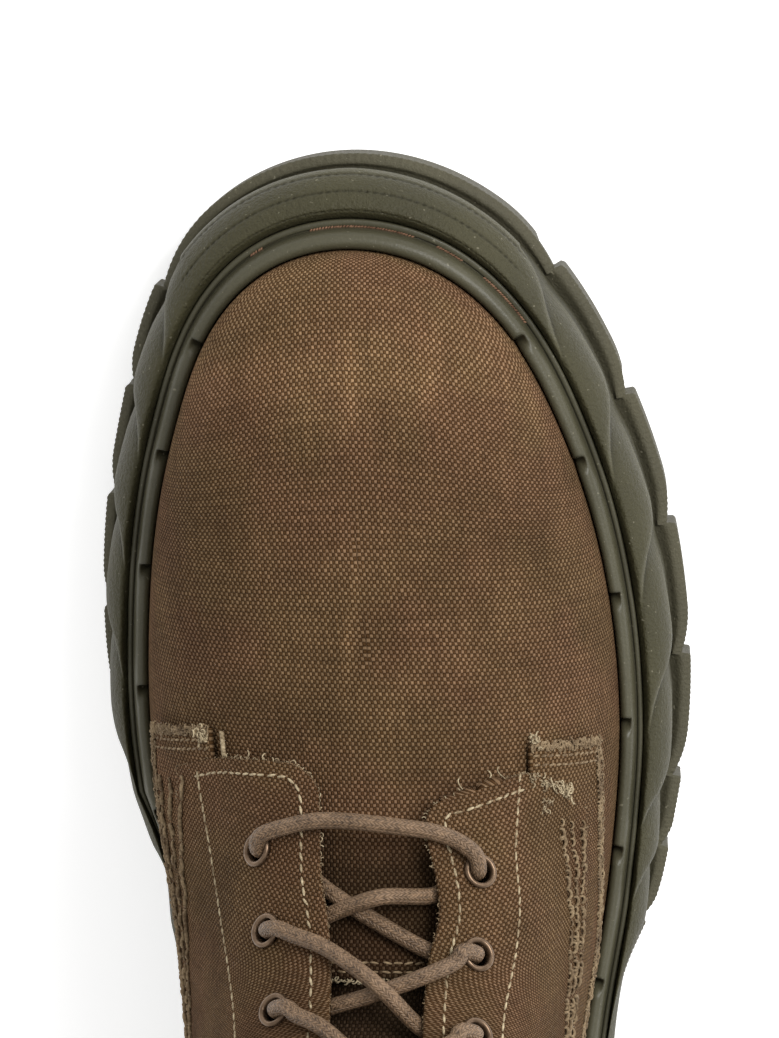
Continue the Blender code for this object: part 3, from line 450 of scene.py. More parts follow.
def canvas_cloth(name, crown, other, ground):
    """Plain weave: pale crowns of one yarn between darker crowns of the other, mottled, and lightened and
    darkened by a piece's own values: paler creases and toe, and painted shade in the throat.
    """
    vectors = {"kind": "ShaderNodeVectorMath"}
    material, tree, sockets = start_material(name, 0.9, 0.03)
    place, cloth = coords(tree, "Object"), coords(tree, "UV")
    wander = noise(cloth, 0.45, 4.0, output=1).calc("MULTIPLY_ADD", (0.6, 0.6, 0.0), cloth, **vectors)
    yarns = zip(split(wander), (YARN_ACROSS, YARN_ALONG))
    warp, weft = ((part * (math.pi / yarn)).calc("SINE") for part, yarn in yarns)
    cross = warp * weft
    cell = stretch(wander, 1 / YARN_ACROSS, 1 / YARN_ALONG, 0.0).calc("FLOOR", **vectors)
    chance = new_node(tree, "ShaderNodeTexWhiteNoise", {"Vector": cell}, "Value")
    fuzz = (noise(cloth, 2.0, 3.0) - 0.5) * 0.6
    raised = abs(warp) ** 0.5 * abs(weft) ** 1.3 * cross.calc("SIGN")
    over = ramp(raised + fuzz, -0.2, 0.48) * ramp(chance, 0.0, 1.0, 0.68, 1.0)
    under = ramp(cross, -0.05, -0.9)
    colour = mix(over, mix(under, ground, other), crown)
    streak = noise(stretch(cloth, 1.6, 0.05, 1.0), 1.0) + noise(stretch(cloth, 0.05, 1.2, 1.0), 1.0)
    tone = ramp(streak, 0.7, 1.3, 0.82, 1.18) * ramp(noise(place, 55.0, 5.0), 0.3, 0.7, 0.82, 1.18)
    # A piece's own values make its creases and toe paler and paint shade into the throat between the flaps
    tone = tone * (attribute(tree, "worn") + 1.0)
    unused = (0.0, 0.0, 0.0)
    shade = colour.calc("SCALE", unused, unused, tone, **vectors)
    rusty = mix(1.0, shade, (1.03, 0.97, 0.96), "MULTIPLY")
    olive = mix(1.0, shade, (0.99, 1.01, 0.93), "MULTIPLY")
    put(sockets["Base Color"], mix(ramp(noise(place, 48.0, 3.0), 0.4, 0.62), olive, rusty))
    bump(sockets, abs(cross) ** 0.6 + noise(cloth, 3.0, 3.0) * 0.8, 0.2)
    return material


CANVAS = canvas_cloth("canvas", (0.181, 0.1145, 0.0665), (0.065, 0.0335, 0.014), (0.025, 0.0115, 0.0042))
# The same weave in darker colours: painted shade for the boot's inside, the footbed and the tongue
SHADED_CANVAS = canvas_cloth("lining", (0.06, 0.04, 0.025), (0.03, 0.018, 0.009), (0.012, 0.007, 0.004))

# Soft creases where the toes bend the vamp: x and y of each end, height, half width and how much paler
CREASES = (
    (-7.0, 126.0, -5.5, 104.0, 0.25, 1.6, 0.34),
    (10.0, 125.0, 10.0, 108.0, 0.2, 1.6, 0.3),
    (-3.5, 82.0, -7.0, 48.0, 0.25, 1.2, 0.36),
    (-30.0, 60.0, 24.0, 66.0, -0.35, 5.0, 0.0),
    (-26.0, 84.0, 30.0, 78.0, -0.3, 6.0, 0.0),
)
# How much paler the toe is and the y it starts at, then the painted shade in the throat: its strength, the y
# behind which it starts and how far from the middle it reaches
TOE_PALER, TOE_PALER_FROM = 0.34, 92.0
THROAT_SHADE, THROAT_SHADE_FROM, THROAT_SHADE_WIDTH = 0.62, 31.0, 28.0
# How the rows of the weave lie: bow over the vamp, more round the toe, and how far a drop widens them
ROW_BOW, TOE_BOW, TOE_BOW_FROM, TOE_BOW_OVER, DROP_WIDENS = 0.0013, 0.008, 78.0, 36.0, 0.7
SIDES_BLEND, SIDES_TOP = 0.12, 102.0
THROAT_ROWS_TO, THROAT_ROWS_HALF = 0.56, 30   # share u and half width of the rows in the throat


def vamp_line():
    """The line over the middle of the foot from the toe's lip: x, y, z and length along it."""
    toe = upper_surface(LATERAL, np.zeros(40), np.linspace(0, 1, 40))
    ridge = ridge_line(np.linspace(0, COLLAR_SHARE, 160)[1:])[0]
    line = np.vstack([toe, ridge])
    back = np.maximum.accumulate(-line[:, 1] + 1e-6 * np.arange(len(line)))
    return line, run_along(line), back


def weave_uv(points, side, u, sides_from=0.4, turn=0.0, throat=False):
    """Millimetres across and along the cloth: its rows cross the foot, bow round the toe and go on down
    the sides, where they follow the lip from a share u on. A turn is how far the cloth was cut off the
    square. In the throat the rows still cross the foot, between the flaps."""
    line, length, back = vamp_line()
    x, y, z = np.moveaxis(points, -1, 0)
    off = x - np.interp(-y, back, line[:, 0])
    drop = np.maximum(np.interp(-y, back, line[:, 2]) - z, 0)
    across = np.sqrt(off**2 + DROP_WIDENS * drop**2)
    bow = ROW_BOW + TOE_BOW * clamp((y - TOE_BOW_FROM) / TOE_BOW_OVER)
    along = np.interp(-(y + bow * off**2), back, length)
    steep = ease(clamp((u - sides_from) / SIDES_BLEND))
    if throat:
        ahead, within = (THROAT_ROWS_TO - u) / 0.03, (THROAT_ROWS_HALF - np.abs(off)) / 8
        steep = steep * (1 - clamp(ahead) * clamp(within))
    across = across + (SIDES_TOP - z - across) * steep
    along = along + (LIP_LENGTH * u - along) * steep
    cos, sin = math.cos(turn), math.sin(turn)
    return np.stack([side * (across * cos - along * sin), along * cos + across * sin], axis=-1)


def crease(points):
    """How far the creases raise each point, how much paler the creases and toe make it, and the painted shade
    in the throat.
    """
    rise, worn = np.zeros(points.shape[:-1]), np.zeros(points.shape[:-1])
    for x0, y0, x1, y1, height, half, pale in CREASES:
        run = np.array([x1 - x0, y1 - y0])
        t = clamp(((points[..., :2] - (x0, y0)) @ run) / (run @ run))
        off = np.linalg.norm(points[..., :2] - (x0, y0) - t[..., None] * run, axis=-1)
        mark = np.exp(-((off / half) ** 2)) * np.sin(np.pi * np.clip(t, 0.02, 0.98))
        rise, worn = rise + height * mark, worn + pale * mark
    line, _, back = vamp_line()
    off = np.abs(points[..., 0] - np.interp(-points[..., 1], back, line[:, 0]))
    y = points[..., 1]
    # Painted shade: the vamp is darkened in the throat between the flaps
    shaded = clamp((THROAT_SHADE_FROM - y) / 8) * clamp((THROAT_SHADE_WIDTH - off) / 5)
    worn += TOE_PALER * clamp((y - TOE_PALER_FROM) / 22) - THROAT_SHADE * shaded
    return rise, worn


shares = np.concatenate([np.linspace(0, 0.52, 110), np.linspace(0.525, 0.84, 80), np.linspace(0.85, 1, 26)])
sides = []
for side in (LATERAL, MEDIAL):
    edge = np.where(shares > THROAT_SHARE, share_at_width(side, shares, THROAT_GAP), 1.0)
    v = np.linspace(0, 1, 72)[:, None] * edge
    wall = upper_surface(side, shares, v)
    wall = wall + upper_normal(side, shares + 0 * v, v) * crease(wall)[0][..., None]
    band = wall[:1] - np.array([0, 0, 1.0]) * np.array([[[BAND_DEPTH]], [[4.0]]])
    sides.append(np.vstack([band, wall])[::-1])
ring = np.concatenate([sides[0], sides[1][:, -2::-1]], axis=1)
ring_side = np.repeat([LATERAL, MEDIAL], [len(shares), len(shares) - 1])
cloth = weave_uv(ring, ring_side, np.concatenate([shares, shares[-2::-1]]), throat=True)
upper = bend_grid("vamp_and_shaft", ring, cloth, CANVAS, SHADED_CANVAS, worn=crease(ring)[1])
thicken(upper, WALL, -1.0, 1)
finish_piece(upper, "canvas", "upper")

# The footbed: a board covered in cloth, in the darker copy of the canvas weave as painted shade, cut to the
# foot's outline and laid loose in the upper. It shows only through the collar.

INSOLE_THICKNESS, INSOLE_PLAY = 4.0, 0.4


def span_foot(inset, height):
    """Rows of points across the foot, from its medial to its lateral edge, all along it."""
    u = np.linspace(0, 1, 90)
    edges = []
    for side in (MEDIAL, LATERAL):
        point, outward, lip, _ = foot_line(side, u)
        edges.append(np.concatenate([point - outward * inset, (lip + height)[:, None]], axis=1))
    across = np.linspace(0, 1, 13)[:, None, None]
    return edges[0] + (edges[1] - edges[0]) * across


points = span_foot(WALL + INSOLE_PLAY, 0.3 - BAND_DEPTH + INSOLE_THICKNESS)
footbed = bend_grid("footbed", points[::-1], points[::-1, :, :2], SHADED_CANVAS)
thicken(footbed, INSOLE_THICKNESS, -1.0)
finish_piece(footbed, "lining", "insole")

# The welt: one moulded rubber ring round the foot of the upper. A rounded satin lip lies against the canvas,
# dimpled at even steps, and a narrow flat strip outside it sits between two grooves. The lip's crest has a
# painted highlight, and painted shade darkens the grooves, the welt's outer edge and each dimple's front.

# Share u and how far the welt reaches past the canvas there
WELT_WIDTHS = ((0.0, 6.2), (0.05, 6.1), (0.12, 5.5), (0.2, 5.2), (1.0, 5.2))
WELT_MARGIN, WELT_DEPTH, LIP_SHARE = 1.25, 10.9, 0.73
# Share u of each dimple, which is a steep step that runs out behind
DIMPLE_DEPTH, DIMPLE_LENGTH = 2.8, 3.6
DIMPLES = {
    LATERAL: (0.122, 0.207, 0.296, 0.376, 0.458, 0.543, 0.625, 0.707, 0.790, 0.873, 0.955),
    MEDIAL: (0.118, 0.193, 0.268, 0.347, 0.428, 0.510, 0.592, 0.675, 0.757, 0.840, 0.922),
}


def stations(step):
    """Stations round the foot, down the lateral side and back: side, share u, and the run from the toe."""
    rows = []
    for side in (LATERAL, MEDIAL):
        length = LIP_LINE[side][1]
        u = np.linspace(0, 1, int(LIP_LINE[LATERAL][1] / step) + 1)
        u = u if side == LATERAL else u[-2::-1]
        rows.append(np.stack([np.full(len(u), float(side)), u, u * length], axis=1))
    return np.vstack(rows).T


def along_foot(side, u):
    """The lip line's columns at stations on both sides."""
    both = [np.column_stack(foot_line(s, u)) for s in (LATERAL, MEDIAL)]
    columns = np.where((side > 0)[:, None], *both)
    return columns[:, :2], columns[:, 2:4], columns[:, 4], columns[:, 5]


def welt_width(u, flare):
    """How far the welt reaches past the canvas, most at the toe."""
    return np.minimum(smooth_row(WELT_WIDTHS, u)[..., 0], flare - WELT_MARGIN)


def sweep(place, outward, reach, height):
    """Rows of points from rows of reach past the lip line and of height."""
    flat = place + outward * np.asarray(reach)[..., None]
    return np.concatenate([flat, np.broadcast_to(height, flat.shape[:2])[..., None]], axis=-1)


def rubber(name, colour, roughness, pebble, grain):
    """Moulded rubber with a fine pebble, lighter where a piece's values paint a highlight along rims and
    crests, and darker where they paint shade into grooves, recesses and under overhangs.
    """
    material, tree, sockets = start_material(name, roughness, 0.6 - 0.75 * roughness)

    def tint(share, plus=0.0):
        return tuple(share * c + plus for c in colour)

    place = coords(tree, "Object")
    cloud = noise(place, 45.0, 4.0)
    base = mix(ramp(cloud, 0.3, 0.7), tint(0.85), tint(1.15))
    # A painted highlight from the rim values, then painted shade from the darkening values
    base = mix(attribute(tree, "rim"), base, tint(1.5, 0.012))
    base = mix(attribute(tree, "grime"), base, tint(0.3))
    grains = noise(place, 1000.0 / grain, 3.0)
    base = mix(ramp(grains, 0.3, 0.7, 0.0, 0.3), base, tint(0.4))
    speck = ramp(noise(place, 1400.0, 0.0), 0.8, 0.84, 0.0, 0.4)
    put(sockets["Base Color"], mix(speck, base, (0.26, 0.24, 0.17)))
    bump(sockets, noise(place, 900.0) * 1.2 - grains, pebble)
    put(sockets["Roughness"], ramp(cloud, 0.3, 0.7, roughness - 0.06, roughness + 0.06))
    return material


LIP_RUBBER = rubber("lip_rubber", (0.066, 0.061, 0.036), 0.4, 0.06, 0.4)

side, u, run = stations(0.4)
place, outward, lip, flare = along_foot(side, u)
width = welt_width(u, flare)
lip_width = LIP_SHARE * width
# Profile from the canvas outwards: share of the lip, reach past it and drop from its top
WELT_PROFILE = (
    (0.06, 0.0, 4.0), (0.06, 0.0, 2.0), (0.07, 0.0, 1.2), (0.11, 0.0, 0.7), (0.17, 0.0, 0.38),
    (0.25, 0.0, 0.15), (0.34, 0.0, 0.04), (0.44, 0.0, 0.0), (0.54, 0.0, 0.08), (0.64, 0.0, 0.28),
    (0.73, 0.0, 0.6), (0.81, 0.0, 1.05), (0.88, 0.0, 1.6), (0.93, 0.0, 2.2), (0.96, 0.0, 2.8),
    (0.98, 0.0, 3.4), (0.99, 0.0, 4.2), (1.0, 0.1, 4.8), (1.0, 0.22, 4.7), (1.0, 0.32, 4.35),
    (1.0, 0.45, 4.2),
)
# Strip's profile up to the welt's edge and down it: distance from the edge and drop from the lip's top
STRIP_PROFILE = ((0.45, 4.2), (0.22, 4.27), (0.06, 4.45), (0.0, 4.8), (0.0, WELT_DEPTH))
reach = [share * lip_width + past for share, past, _ in WELT_PROFILE]
reach += [width - back for back, _ in STRIP_PROFILE]
reach = np.array(reach + [reach[0], reach[0]])
drop = [row[-1] for row in WELT_PROFILE + STRIP_PROFILE] + [WELT_DEPTH, WELT_PROFILE[0][-1]]
drop = np.tile(np.array(drop)[:, None], len(u))
# Painted shade in the grooves beside the strip and down the welt's outer edge
grime = clamp((drop - 4.3) / 0.4) * (reach > 0.9 * lip_width) * 0.45
for half, dimples in DIMPLES.items():
    for share in dimples:
        ahead = np.where(side == half, run - share * LIP_LINE[half][1], 99.0)
        ramp_back = clamp(1 - ahead / DIMPLE_LENGTH) ** 1.3 * clamp((ahead + 0.3) / 0.3)
        spread = clamp(1 - (reach / (0.72 * lip_width)) ** 4)
        # Painted shadow at each dimple's steep front
        grime = grime + 0.9 * spread * (drop < 3.0) * np.exp(-(((ahead - 0.2) / 0.7) ** 2))
        drop = drop + DIMPLE_DEPTH * ramp_back * spread * (drop < 3.0)
# A painted highlight along the lip's crest
rim = np.exp(-(((reach - 0.45 * lip_width) / (0.18 * lip_width)) ** 2)) * (drop < 1.0) * 0.25
points = sweep(place, outward, reach, lip - drop)
uv = np.stack(np.broadcast_arrays(run, reach), axis=-1)
welt = bend_grid("lip_and_strip", points, uv, LIP_RUBBER, rim=rim, grime=np.minimum(grime, 1.0))
finish_piece(welt, "sole_rubber", "welt")

# The sidewall: moulded rubber under the welt. Long scales overlap round it from the toe back, each
# rising from under the one ahead, and a plain bumper with fine grooves goes round the toe. Each scale's rim
# has a painted highlight, and painted shade darkens the scale past it, the valley at the edge, the grooves
# and the rows under the welt.

SIDEWALL_DROP, GROOVE_WIDTH, SEAT_GAP = 4.9, 0.22, 0.3
# How far in from the sole's edge the scales start, on each side, at the toe and more between lugs
TREAD_INSET, TOE_INSET, NOTCH_INSET = {LATERAL: 3.8, MEDIAL: 3.0}, 2.8, 0.7
SCALE_THICKNESS, BUMPER_GROOVES = 3.0, (0.2, 0.56, 0.8)
# y of each lug's front
LUG_FRONTS = {
    LATERAL: (123.0, 99.6, 74.3, 48.6, 24.0, 9.0, -7.0, -57.0, -82.0, -107.0, -131.0),
    MEDIAL: (120.6, 102.5, 81.0, 58.2, 34.3, 11.5, -7.0, -57.0, -82.0, -107.0, -131.0),
}
ARCH = 7                    # number of the stretch between the last lug of the forefoot and the heel's first
# y, underside and top of the tread
SOLE_LEVELS = (
    (157.0, 13.5, 26.0),
    (140.0, 7.0, 20.0),
    (122.0, 2.2, 15.6),
    (100.0, 0.0, 13.2),
    (40.0, 0.0, 12.8),
    (-6.0, 0.0, 13.5),
    (-13.0, 11.5, 14.5),
    (-30.0, 13.5, 17.0),
    (-52.0, 13.0, 20.0),
    (-57.0, 0.0, 20.5),
    (-100.0, 0.0, 22.0),
    (-145.0, 0.0, 22.5),
    (-157.0, 3.0, 22.5),
)
# Place along a scale and its rim's place across the sidewall
SCALE_RIM = (
    (0.0, 0.97), (0.3, 0.95), (0.6, 0.94), (0.8, 0.92), (0.92, 0.86), (1.02, 0.74), (1.12, 0.58), (1.25, 0.4),
    (1.5, 0.2),
)


def sole_level(y):
    """Heights of the tread's underside and top at a given y."""
    levels = np.array(SOLE_LEVELS)[::-1]
    return np.interp(y, levels[:, 0], levels[:, 1]), np.interp(y, levels[:, 0], levels[:, 2])


def lug_place(side, u):
    """Number of the lug at each station, and the place along it from its front to the next one's."""
    number, place = np.zeros(len(u), int), np.zeros(len(u))
    for s in (LATERAL, MEDIAL):
        fronts = np.array([0.0] + [share_at(s, y) for y in LUG_FRONTS[s]] + [1.0001])
        k = np.clip(np.searchsorted(fronts, u, side="right") - 1, 0, len(fronts) - 2)
        here = side == s
        number[here] = k[here]
        place[here] = ((u - fronts[k]) / (fronts[k + 1] - fronts[k]))[here]
    last = len(LUG_FRONTS[LATERAL])
    place = np.where(number == last, 0.6 * place, place)
    return number, place


def valley_width(side, u, flare, lug):
    """How far in from the sole's edge the valley between the tread and the scales is."""
    aside = clamp(u / 0.12)
    inset = TOE_INSET + (np.where(side > 0, *TREAD_INSET.values()) - TOE_INSET) * aside
    inset = inset + NOTCH_INSET * np.exp(-((np.minimum(lug, 1 - lug) / 0.18) ** 2)) * aside
    return inset * np.clip((flare - 5.0) / 8.0, 0.05, 1.0)


def rim_across(place, number):
    """How far across the sidewall a scale's rim is, and its thickness there."""
    across = smooth_row(SCALE_RIM, place)[..., 0]
    across = np.where((number == 0) & (place < 0.8), 0.96, across)
    fade = ease(clamp((place - 1.2) / 0.5))
    grown = np.where(number == 0, 1.0, 0.08 + 0.92 * np.minimum(place, 1.0))
    return across, SCALE_THICKNESS * (grown - 0.7 * fade)


RUBBER = rubber("sidewall_rubber", (0.050, 0.0455, 0.0225), 0.56, 0.3, 0.5)

side, u, run = stations(0.6)
place, outward, lip, flare = along_foot(side, u)
number, lug = lug_place(side, u)
valley = valley_width(side, u, flare, lug)
inner = welt_width(u, flare) + GROOVE_WIDTH
outer = flare - valley
shelf = lip - SIDEWALL_DROP
_, top = sole_level(place[:, 1] + outward[:, 1] * flare)
base = top + SEAT_GAP
turn = np.linspace(0, 1, 80)[:, None] * math.pi / 2
across = np.sin(turn) ** 0.9
height = base + (shelf - base) * np.cos(turn) ** 0.8
layer, rim, grime = np.zeros((3, len(turn), len(u)))
for behind in (0, 1):
    at, thick = rim_across(lug + behind, number - behind)
    thick = np.where(number - behind < 0, 0.0, thick)
    edge = thick * np.sqrt(clamp(1 - (across / at) ** 7))
    step = clamp((thick - layer) / SCALE_THICKNESS)
    # A painted highlight along each scale's rim
    glow = np.exp(-(((across - 0.95 * at) / 0.08) ** 2)) * clamp(2 * step)
    rim = np.where(across < at, np.maximum(glow, rim * (edge < layer)), rim)
    past = np.clip(across - at, 0, 9)
    # Painted shadow on the scale behind, just past each rim
    shade = 0.75 * np.exp(-past / 0.045) + 0.45 * np.exp(-past / 0.22)
    grime = grime * (edge <= layer) + step * shade * (across > 0.985 * at)
    layer = np.maximum(layer, edge)
# Painted shade in the valley at the sidewall's outer edge
grime = clamp(np.maximum(grime, 0.3 * clamp((across - 0.93) / 0.07)))
bumper = clamp((0.9 - lug) / 0.08) * (number == 0)
dots = 0.6 + 0.4 * np.sin(2 * math.pi * run / 1.3)
# The bumper's grooves are sunk and painted darker as shade
for groove in BUMPER_GROOVES:
    line = bumper * dots * np.exp(-(((across - groove) / 0.018) ** 2))
    layer, grime = layer - 0.4 * line, np.maximum(grime, 0.95 * line)
reach = inner + (outer - inner) * across
slope = np.stack([np.gradient(reach, axis=0), np.gradient(height, axis=0)])
slope /= np.linalg.norm(slope, axis=0) + 1e-9
layer = layer * (1 - clamp(1 - across / 0.3) ** 2)
aim = np.stack([-slope[1] * across**2, slope[0] * across**2 + 1 - across**2])
aim /= np.linalg.norm(aim, axis=0)
reach, height = reach + aim[0] * layer, height + aim[1] * layer
floor = (lip - BAND_DEPTH - SEAT_GAP)[None]
reach = np.vstack([[inner - 3.0], [inner - 0.2], [inner - 0.15], reach, [outer - 4.0], [inner - 3.0]])
height = np.vstack([floor, floor, [shelf - 0.6], height, [base], floor])
# Painted shade on the rows tucked under the welt, and the painted highlights toned down
rim = np.vstack([0 * rim[:3], rim, 0 * rim[:2]]) * 0.75
grime = np.vstack([np.full((3, len(u)), 0.6), grime, 0 * grime[:2]])
points = sweep(place, outward, reach, height)
uv = np.stack(np.broadcast_arrays(run, reach), axis=-1)
sidewall = bend_grid("sidewall", points, uv, RUBBER, rim=rim, grime=grime)
finish_piece(sidewall, "sole_rubber", "midsole")

# The tread: harder rubber in lugs round the edge, each with a square front that steps out past the
# tail of the one ahead. Fine upright ribs cover its edge, and channels run in between the lugs.

LUG_TAIL, LUG_DEPTH, LUG_REACH = 1.9, 6.0, 21.0
RIB_PITCH, RIB_DEPTH, BAND_WIDTH = 1.05, 0.28, 2.0
TAIL_FROM, CHANNEL_FROM = 0.62, 0.83   # places along a lug

TREAD_RUBBER = rubber("tread_rubber", (0.066, 0.060, 0.037), 0.6, 0.18, 0.45)

side, u, run = stations(0.3)
place, outward, lip, flare = along_foot(side, u)
number, lug = lug_place(side, u)
under, top = sole_level(place[:, 1] + outward[:, 1] * flare)
in_arch = number == ARCH
tail = LUG_TAIL * clamp((lug - TAIL_FROM) / (1 - TAIL_FROM)) ** 2 * ~in_arch
front = 0.7 * clamp(1 - lug / 0.035) ** 2 * (number > 0) * ~in_arch
edge = flare - tail - front
channel = clamp((lug - CHANNEL_FROM) / 0.03) * clamp((1.0 - lug) / 0.015) * ~in_arch
channel *= number < len(LUG_FRONTS[LATERAL])
floor = under + LUG_DEPTH * channel
middle = under + np.where(in_arch, 0.0, LUG_DEPTH / 2)
valley = valley_width(side, u, flare, lug)
rib = RIB_DEPTH * (0.5 + 0.5 * np.cos(2 * math.pi * run / RIB_PITCH))
deep = np.maximum(top - floor, 2.0)
crest = np.minimum(np.maximum(edge - BAND_WIDTH, flare - valley), edge - 0.3)
# Rows of reach, height, painted shade and painted highlight: shade under the scales and in the valley, a
# highlight on the ribbed crest and down the edge
rows = [(flare - valley - 4.0, top - 0.6, 0.3, 0.0)]
for t in np.linspace(0, 1, 6):
    swell = 0.5 - 0.5 * math.cos(math.pi * t)
    reach = flare - valley + (crest - flare + valley) * t
    rows.append((reach, top - 0.6 + 0.7 * swell, 0.25 * (1 - swell), 0.2 * t))
for t in (0.3, 0.6, 0.85, 1.0):
    rows.append((crest + (edge - crest) * t - 0.5 * rib * t, top + 0.1 - 0.9 * t**1.6 - rib * t, 0.0, 0.3))
for t in np.linspace(0.05, 1, 9) ** 1.3:
    rows.append((edge - 0.3 * t - rib * (1 - t**4), top - 1.1 - (deep - 2.4) * t, 0.0, 0.1))
inner = flare - LUG_REACH
for reach, height in (
    (edge - 0.8, floor + 0.6), (edge - 1.5, floor), (inner + 1.0, floor),
    (inner, floor + 0.3), (inner - 1.2, np.maximum(middle, floor)),
):
    rows.append((reach, height, 0.0, 0.0))
reach, height, grime, rim = (np.array([np.broadcast_to(row[k], u.shape) for row in rows]) for k in range(4))
points = sweep(place, outward, reach, height)
roof, bottom = (0.5 * (row + row[::-1]) for row in (points[0], points[-1]))
points = np.vstack([roof[None], points, bottom[None]])
reach, grime, rim = (np.pad(rows, ((1, 1), (0, 0))) for rows in (reach, grime, rim))
uv = np.stack(np.broadcast_arrays(run, reach), axis=-1)
tread = bend_grid("tread", points, uv, TREAD_RUBBER, rim=rim, grime=grime)
finish_piece(tread, "tread_rubber", "outsole")

# The tongue: a strip of cloth under the throat, in the darker copy of the canvas weave as painted shade. It
# is sewn to the vamp's edge at its foot, lies behind the lace, and stands out above the collar.

TONGUE_GAP, TONGUE_THICKNESS, TONGUE_HALF_WIDTH = 2.4, 1.8, 25.0
TONGUE_RISE, TONGUE_TUCK = 10.0, 0.035

shares = np.linspace(THROAT_SHARE - TONGUE_TUCK, COLLAR_SHARE, 60)
halves = []
for side in (MEDIAL, LATERAL):
    low = share_at_width(side, shares, TONGUE_HALF_WIDTH)
    v = low + (1 - low) * np.linspace(0, 1, 16)[:, None]
    half = offset_point(side, shares + 0 * v, v, np.full(v.shape, -(WALL + TONGUE_GAP)))
    halves.append(half if side == MEDIAL else half[-2::-1])
points = np.vstack(halves)
toeward = ridge_line(np.float64(COLLAR_SHARE))[1]
rise = np.linspace(0.25, 1, 4)[:, None] * -toeward * TONGUE_RISE
points = np.concatenate([points, points[:, -1:] + rise], axis=1)
across, along = (np.cumsum(np.linalg.norm(np.gradient(points, axis=k), axis=-1), axis=k) for k in (0, 1))
cloth = np.stack([across, along], axis=-1)
tongue = bend_grid("tongue_cloth", points[::-1], cloth[::-1], SHADED_CANVAS)
thicken(tongue, TONGUE_THICKNESS, -1.0)
finish_piece(tongue, "lining", "tongue")

# The flaps: each quarter is a sheet of canvas over half of the shaft, with a free front edge laid over
# the vamp. It is cut raw, sewn along its edge, and holed for seven eyelets.

QUARTER_THICKNESS, OVERLAY_GAP, QUARTER_EDGE = 1.4, 0.85, 34.0
FLAP_LIFT, FLAP_SEWN, FLAP_RAISED = 3.8, 36.0, 18.0
FLAP_CORNER = {LATERAL: 5.0, MEDIAL: 8.0}
CORNER_SHARE = {LATERAL: 0.016, MEDIAL: 0.026}
FLAP_WEAVE, FLAP_TURN = 1.12, math.radians(9)
# y of the front edge at its lower end, middle and inner end
QUARTER_FRONTS = {MEDIAL: (32.5, 34.0, 32.0), LATERAL: (25.5, 33.0, 27.0)}
HEEL_SEAM = 0.9996
EYELET_PAIRS, EYELET_PITCH, EYELET_BARREL = 7, 17.8, 2.75
EYELET_WIDTHS = {
    MEDIAL: (21.3, 19.2, 17.0, 16.4, 16.2, 16.2, 16.2),
    LATERAL: (16.2, 15.6, 15.6, 15.8, 16.0, 16.2, 16.2),
}
FIRST_EYELET_Y = {MEDIAL: 25.7, LATERAL: 21.3}
# Share u and distance from the ridge of each flap's free edge, which bends in between the eyelets
FLAP_EDGES = {
    LATERAL: (
        (0.40, 8.4), (0.44, 8.0), (0.465, 9.4), (0.485, 9.8), (0.51, 8.2), (0.54, 7.6), (0.60, 8.6),
        (0.72, 9.6),
    ),
    MEDIAL: (
        (0.38, 10.6), (0.43, 10.4), (0.465, 10.2), (0.49, 8.9), (0.54, 8.0), (0.60, 8.8), (0.66, 9.4),
        (0.72, 9.6),
    ),
}


def quarter_front(side, w):
    """Share u of the quarter's front edge at a share w from its lower to its inner edge."""
    rows = [(at, share_at(side, y)) for at, y in zip((0.0, 0.5, 1.0), QUARTER_FRONTS[side])]
    return smooth_row(rows, w)[..., 0]


def flap_edge(side, u, inset=0.0):
    """Share v of the quarter's inner edge or collar edge, with its front corner rounded off."""
    start = quarter_front(side, 1.0) + inset / LIP_LENGTH
    share = max(CORNER_SHARE[side] - inset / LIP_LENGTH, 0.006)
    ahead = clamp((start + share - u) / share)
    corner = max(FLAP_CORNER[side] - inset, 2.0)
    width = smooth_row(FLAP_EDGES[side], u)[..., 0] + inset + corner * (1 - np.sqrt(1 - ahead**2))
    return share_at_width(side, u, width)


def flap_lift(side, u, v):
    """How far the quarter stands off the upper, from its sewn line to its free inner edge."""
    free = clamp((FLAP_SEWN - ridge_distance(side, u, v)) / (FLAP_SEWN - FLAP_RAISED))
    on_front = clamp((COLLAR_SHARE + 0.12 - u) / 0.10)
    return OVERLAY_GAP + FLAP_LIFT * ease(free) * on_front


def quarter_point(side, u, v, height):
    """Point at a height over the quarter's inner face."""
    return offset_point(side, u, v, flap_lift(side, u, v) + height)


def eyelet_share(side, pair):
    """Share u of an eyelet, evenly spaced along the ridge."""
    u = np.linspace(0, COLLAR_SHARE, 1441)
    line = ridge_line(u)[0]
    along = run_along(line)
    first = np.interp(-FIRST_EYELET_Y[side], -line[:, 1], along)
    return float(np.interp(first + pair * EYELET_PITCH, along, u))


def eyelet_frame(side, pair):
    """Centre of an eyelet on the quarter's outer face, with the face's normal."""
    u = np.float64(eyelet_share(side, pair))
    v = share_at_width(side, u, EYELET_WIDTHS[side][pair])

    def face(du, dv):
        return quarter_point(side, u + du, v + dv, np.float64(QUARTER_THICKNESS))

    normal = side * np.cross(face(0, 4e-3) - face(0, -4e-3), face(4e-3, 0) - face(-4e-3, 0))
    return face(0, 0), unit(normal)


